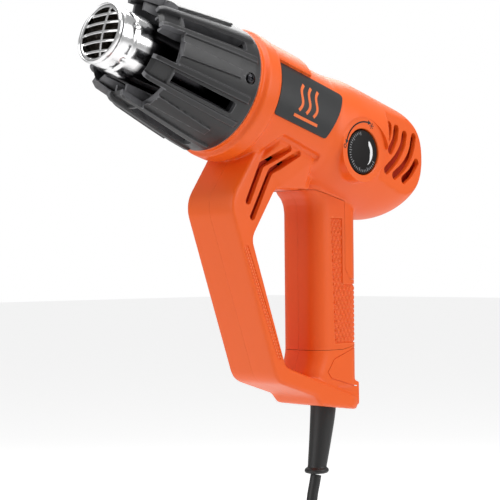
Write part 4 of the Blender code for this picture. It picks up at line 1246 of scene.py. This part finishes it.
def makeDial():
    r = dialPlace["radius"]
    profile = [(34.9, 0), (34.9, 3.2), (32.9, 3.2), (32.9, r - 0.3)]
    profile += [(s, r - 0.1) for s in steps(33.2, 37.4, 6)]
    profile += [(37.8, r - 0.35), (38.1, r - 0.8), (dial["face"], r - 1.3), (dial["face"], 0)]
    knob = turned("temperatureDial", profile, 384, dialTurn, dialRadius)
    dress(knob, finishes["dialBlack"], "dial", ["temperature_dial"])
    marks = []
    for i in range(scale["ticks"]):
        angle = math.radians(scale["start"] + scale["pitch"] * i)
        inner = scale["longFrom"] if i % scale["longEvery"] == 0 else scale["from"]
        c, s = math.cos(angle), math.sin(angle)
        path = [(inner * c, inner * s), (scale["to"] * c, scale["to"] * s)]
        marks.append(flatMark(sides(path, scale["width"], 3)))
    dress(gather("dialScale", marks), finishes["printGrey"], "dial")
    # painted highlight: a white crescent, blunt above and pointed below
    arc = steps(crescent["low"], crescent["high"], 40)
    reach = crescent["radius"]
    outline = [(reach * math.cos(math.radians(a)), reach * math.sin(math.radians(a))) for a in arc]
    for a in reversed(arc):
        broad = smoothStep(a, -64, -10) * (1 - 0.6 * smoothStep(a, 36, 50))
        inner = reach - (crescent["thin"] + crescent["thick"] * broad)
        outline.append((inner * math.cos(math.radians(a)), inner * math.sin(math.radians(a))))
    dress(flatMark(outline), finishes["printWhite"], "dial").name = "dialCrescent"


# angles in degrees round the dial's middle
arrow = {"low": 156, "high": 76, "reach": 16.6, "spread": 2.6, "width": 0.95, "tip": 3.0, "tipHalf": 1.5,
         "ring": (170, 17.2), "ringRadius": 1.1, "rays": (64, 18.4), "rayCount": 6, "line": 0.5}


def printedOn(name, outlines, side=-1, lift=0.06):
    # thin printed shapes that follow the housing's surface
    shapes = []
    for outline in outlines:
        rings = []
        for y in (0.25, -lift):
            rings.append([(x, surfaceDepth(x, z, side) - side * y, z) for x, z in outline])
        shapes.append(skin("print", rings))
    return gather(name, shapes)


def makeDialPrint():
    # range arrow from cold to hot, a ring at its low end and a ray sign at its high end
    centre = dialPlace["z"]

    def spot(angle, reach):
        return reach * math.cos(math.radians(angle)), centre + reach * math.sin(math.radians(angle))

    low, high = arrow["low"], arrow["high"]
    arc = [spot(a, arrow["reach"] + arrow["spread"] * (low - a) / (low - high))
           for a in steps(low, high, 24)]
    shapes = [sides([first, second], arrow["width"], 3) for first, second in zip(arc, arc[1:])]
    for tip, before in ((arc[0], arc[1]), (arc[-1], arc[-2])):
        along = (Vector(tip) - Vector(before)).normalized()
        across = Vector((-along.y, along.x))
        half = across * arrow["tipHalf"]
        corners = (Vector(tip) + along * arrow["tip"], Vector(tip) - half, Vector(tip) + half)
        shapes.append([tuple(c) for c in corners])
    ring = Vector(spot(*arrow["ring"]))
    turns = steps(0, 2 * math.pi, 16)
    for a, b in zip(turns, turns[1:]):
        ends = [tuple(ring + Vector((math.cos(v), math.sin(v))) * arrow["ringRadius"]) for v in (a, b)]
        shapes.append(sides(ends, arrow["line"], 2))
    rays = Vector(spot(*arrow["rays"]))
    for angle in steps(0, 2 * math.pi, arrow["rayCount"])[:-1]:
        way = Vector((math.cos(angle), math.sin(angle)))
        shapes.append(sides([tuple(rays + way * 0.9), tuple(rays + way * 1.8)], arrow["line"], 2))
    shapes.append([tuple(rays + Vector((math.cos(v), math.sin(v))) * 0.55) for v in turns[:-1]])
    dress(printedOn("rangeArrow", shapes), finishes["printBlack"])


makeDial()
makeDialPrint()
print("dial ready")


# Screws
screwHead = {"housing": 2.8, "shroud": 2.7, "gap": 0.3, "crossHalf": 0.42, "crossReach": 0.62,
             "crossFloor": 1.0, "shroudSeat": 37.9, "shroudLength": 6.0, "grip": 9}


def crossScrew(name, place, seat, length, head, node, look="zinc_steel", shank=1.3):
    # domed head with a cross recess on a plain shank
    under = seat + screwHead["gap"]
    profile = [(under + 2.2, 0), (under + 2.2, head * 0.45), (under + 2.05, head * 0.7),
               (under + 1.6, head * 0.9), (under + 0.9, head), (under, head), (under, shank),
               (seat - length, shank), (seat - length - 1, 0)]
    screw = turned(name, profile, 48, place)
    floor = under + screwHead["crossFloor"]
    thin, reach = screwHead["crossHalf"], head * screwHead["crossReach"]
    for wide, tall in ((thin, reach), (reach, thin)):
        cut(screw, block("cross", (floor, -wide, -tall), (under + 4, wide, tall), place))
    dress(screw, finishes[look], stands=[node])


def sideways(x, z, side=1):
    return Matrix.Translation((x * mm, 0, z * mm)) @ Matrix.Rotation(side * math.pi / 2, 4, "Z")


def makeScrews():
    for key, (x, z, _, _, seat) in screws.items():
        words = key.split("_")
        name = "housingScrew" + "".join(w.capitalize() for w in words)
        crossScrew(name, sideways(x, z), seat, seat + screwHead["grip"], screwHead["housing"],
                   "housing_screw_" + key)
    for side, name, node in ((-1, "shroudScrewLeft", "shroud_screw_left"),
                             (1, "shroudScrewRight", "shroud_screw_right")):
        place = barrelPlace @ sideways(shroud["screwAt"], 0, side)
        crossScrew(name, place, screwHead["shroudSeat"], screwHead["shroudLength"], screwHead["shroud"],
                   node, "darkSteel")


makeScrews()
print("screws ready")


# Grip pads and guard strips
def makePads():
    for side, name in ((-1, "gripPadLeft"), (1, "gripPadRight")):
        sheet = gather(name, padSolid(name, side, 0.4, padHeight, -1.5))
        dress(sheet, finishes["orange_grip"], angle=50)


beads = {"pitch": 2.1, "row": 0.85, "stagger": 0.5,
         "shape": [(-0.4, 0.72), (0.2, 0.72), (0.42, 0.55), (0.5, 0.3)]}      # height, radius


def makeGuardStrips():
    # small raised beads in the sunk strip on each side of the guard
    for side, name in ((-1, "guardStripLeft"), (1, "guardStripRight")):
        start, end = (Vector(p) for p in guard["strip"])
        along = (end - start).normalized()
        across = Vector((-along.y, along.x))
        count = round((end - start).length / beads["pitch"])
        made = []
        for i in range(count + 1):
            for row in (-1, 1):
                middle = start + (end - start) * i / count
                middle += across * row * beads["row"] + along * row * beads["stagger"]
                rings = []
                for out, r in beads["shape"]:
                    y = side * (guard["stripFloor"] + out)
                    rings.append([(middle.x + r * math.cos(a), y, middle.y + r * math.sin(a))
                                  for a in steps(0, 2 * math.pi, 12)[:-1]])
                made.append(skin("bead", rings))
        dress(gather(name, made), finishes["orange_shell"])


makePads()
makeGuardStrips()
print("grip ready")


# Strain relief and switch
relief = {
    "profile": [(-58.6, 0), (-58.6, 10.2), (-61.6, 10.2), (-61.6, 8.2), (-80, 8.2), (-86, 7.95),
                (-92, 7.6), (-98, 7.2), (-104, 6.85), (-110, 6.5), (-115.2, 6.15), (-116.2, 6.1),
                (-116.8, 6.4), (-117.1, 7.0), (-117.6, 7.5), (-118.4, 7.8), (-119.2, 7.7),
                (-119.9, 7.2), (-120.2, 6.4), (-120.2, 0)],
    "x": 2.4, "leanFrom": -80.0, "leanTo": 37, "lean": 6.2, "curve": 1.15}


def makeRelief():
    turn = Matrix.Rotation(-math.pi / 2, 4, "Y")
    piece = turned("strainRelief", relief["profile"], 64, turn)
    for vertex in piece.data.vertices:
        below = max(0.0, relief["leanFrom"] - vertex.co.z / mm)
        vertex.co.x += (relief["x"] - relief["lean"] * (below / relief["leanTo"]) ** relief["curve"]) * mm
    dress(piece, finishes["black_rubber"], stands=["strain_relief"], angle=45)


# edges: distance to the rear and how much smaller the outline is there
switch = {
    "z": 22.0, "half": 5.5, "halfHeight": 11, "corner": 1.6, "grooves": 7, "groovePitch": 2.6,
    "grooveAt": 23.3, "grooveRadius": 1.0, "grooveHalf": 4.2, "stemHalf": (2.6, 3), "stemEnds": (14.3, 20.9),
    "edges": [(20.4, 0.3), (20.7, 0.0), (22.2, 0.0), (22.6, 0.25), (22.8, 0.7)]}


def makeSwitch():
    # slider with cross grooves on a stem
    z, half, tall, corner = switch["z"], switch["half"], switch["halfHeight"], switch["corner"]
    rings = []
    for x, shrink in switch["edges"]:
        wide, high = half * (1 - shrink / half), tall * (1 - shrink / tall)
        outline = rounded([(-wide, z - high, corner), (wide, z - high, corner),
                           (wide, z + high, corner), (-wide, z + high, corner)], 8)
        rings.append([(x, y, h) for y, h in outline])
    slider = skin("switchSlider", rings)
    (inner, outer), (stemHalf, stemTall) = switch["stemEnds"], switch["stemHalf"]
    unite(slider, block("stem", (inner, -stemHalf, z - stemTall), (outer, stemHalf, z + stemTall)))
    for i in range(switch["grooves"]):
        h = z + (i - switch["grooves"] // 2) * switch["groovePitch"]
        cut(slider, rod("groove", "Y", (switch["grooveAt"], 0, h), switch["grooveRadius"],
                        -switch["grooveHalf"], switch["grooveHalf"], 24))
    dress(slider, finishes["black_plastic"], "switch", ["switch_slider"])


makeRelief()
makeSwitch()
print("relief and switch ready")


# Stage and light; the floor's glow is for the camera alone
stage = {                     # height and half width in metres
    "floor": -0.345, "half": 12.0, "pale": (0.93, 0.93, 0.93), "rough": 0.9, "glow": 0.52}
floor = addMesh("floor", [(x * stage["half"] / mm, y * stage["half"] / mm, stage["floor"] / mm)
                          for x, y in ((-1, -1), (1, -1), (1, 1), (-1, 1))], [(0, 1, 2, 3)])
paper = bpy.data.materials.new("paper")
paper.use_nodes = True
paperShader = paper.node_tree.nodes["Principled BSDF"]
paperShader.inputs["Base Color"].default_value = (*stage["pale"], 1)
paperShader.inputs["Roughness"].default_value = stage["rough"]
seen = paper.node_tree.nodes.new("ShaderNodeLightPath")
glow = mathNode(paper.node_tree, "MULTIPLY", seen.outputs["Is Camera Ray"], stage["glow"])
paper.node_tree.links.new(glow, paperShader.inputs["Emission Strength"])
paperShader.inputs["Emission Color"].default_value = (1, 1, 1, 1)
floor.data.materials.append(paper)

lamps = {                     # place, aim, size in metres, power in watts
    "topSoft": ((-0.1, -0.1, 1.15), (0.0, 0.0, 0.05), 1.0, 12.0),
    "sideKey": ((0.45, -1.15, 0.55), (0.0, 0.0, 0.03), 0.9, 7.5),
    "rearTop": ((0.7, 0.65, 0.95), (0.0, 0.0, 0.05), 0.8, 9.0),
    "frontSoft": ((-1.15, 0.25, 0.35), (-0.05, 0.0, 0.05), 0.9, 4.2)}
for name, (place, aim, size, power) in lamps.items():
    lamp = addObject(name, bpy.data.lights.new(name, "AREA"))
    lamp.data.shape = "SQUARE"
    lamp.data.size = size
    lamp.data.energy = power
    lamp.location = place
    lamp.rotation_euler = (Vector(aim) - Vector(place)).to_track_quat("-Z", "Y").to_euler()

# white behind the tool, dimmer where it lights or is reflected
surround = {"light": 0.4, "seen": 0.6, "colour": (1.0, 1.0, 1.0)}
world = bpy.data.worlds.new("studio")
world.use_nodes = True
backdrop = world.node_tree.nodes["Background"]
path = world.node_tree.nodes.new("ShaderNodeLightPath")
strength = mathNode(world.node_tree, "MULTIPLY", path.outputs["Is Camera Ray"], surround["seen"])
strength = mathNode(world.node_tree, "ADD", strength, surround["light"])
world.node_tree.links.new(strength, backdrop.inputs["Strength"])
backdrop.inputs["Color"].default_value = (*surround["colour"], 1)
bpy.context.scene.world = world
bpy.context.scene.view_settings.view_transform = "Standard"

print("scene ready")
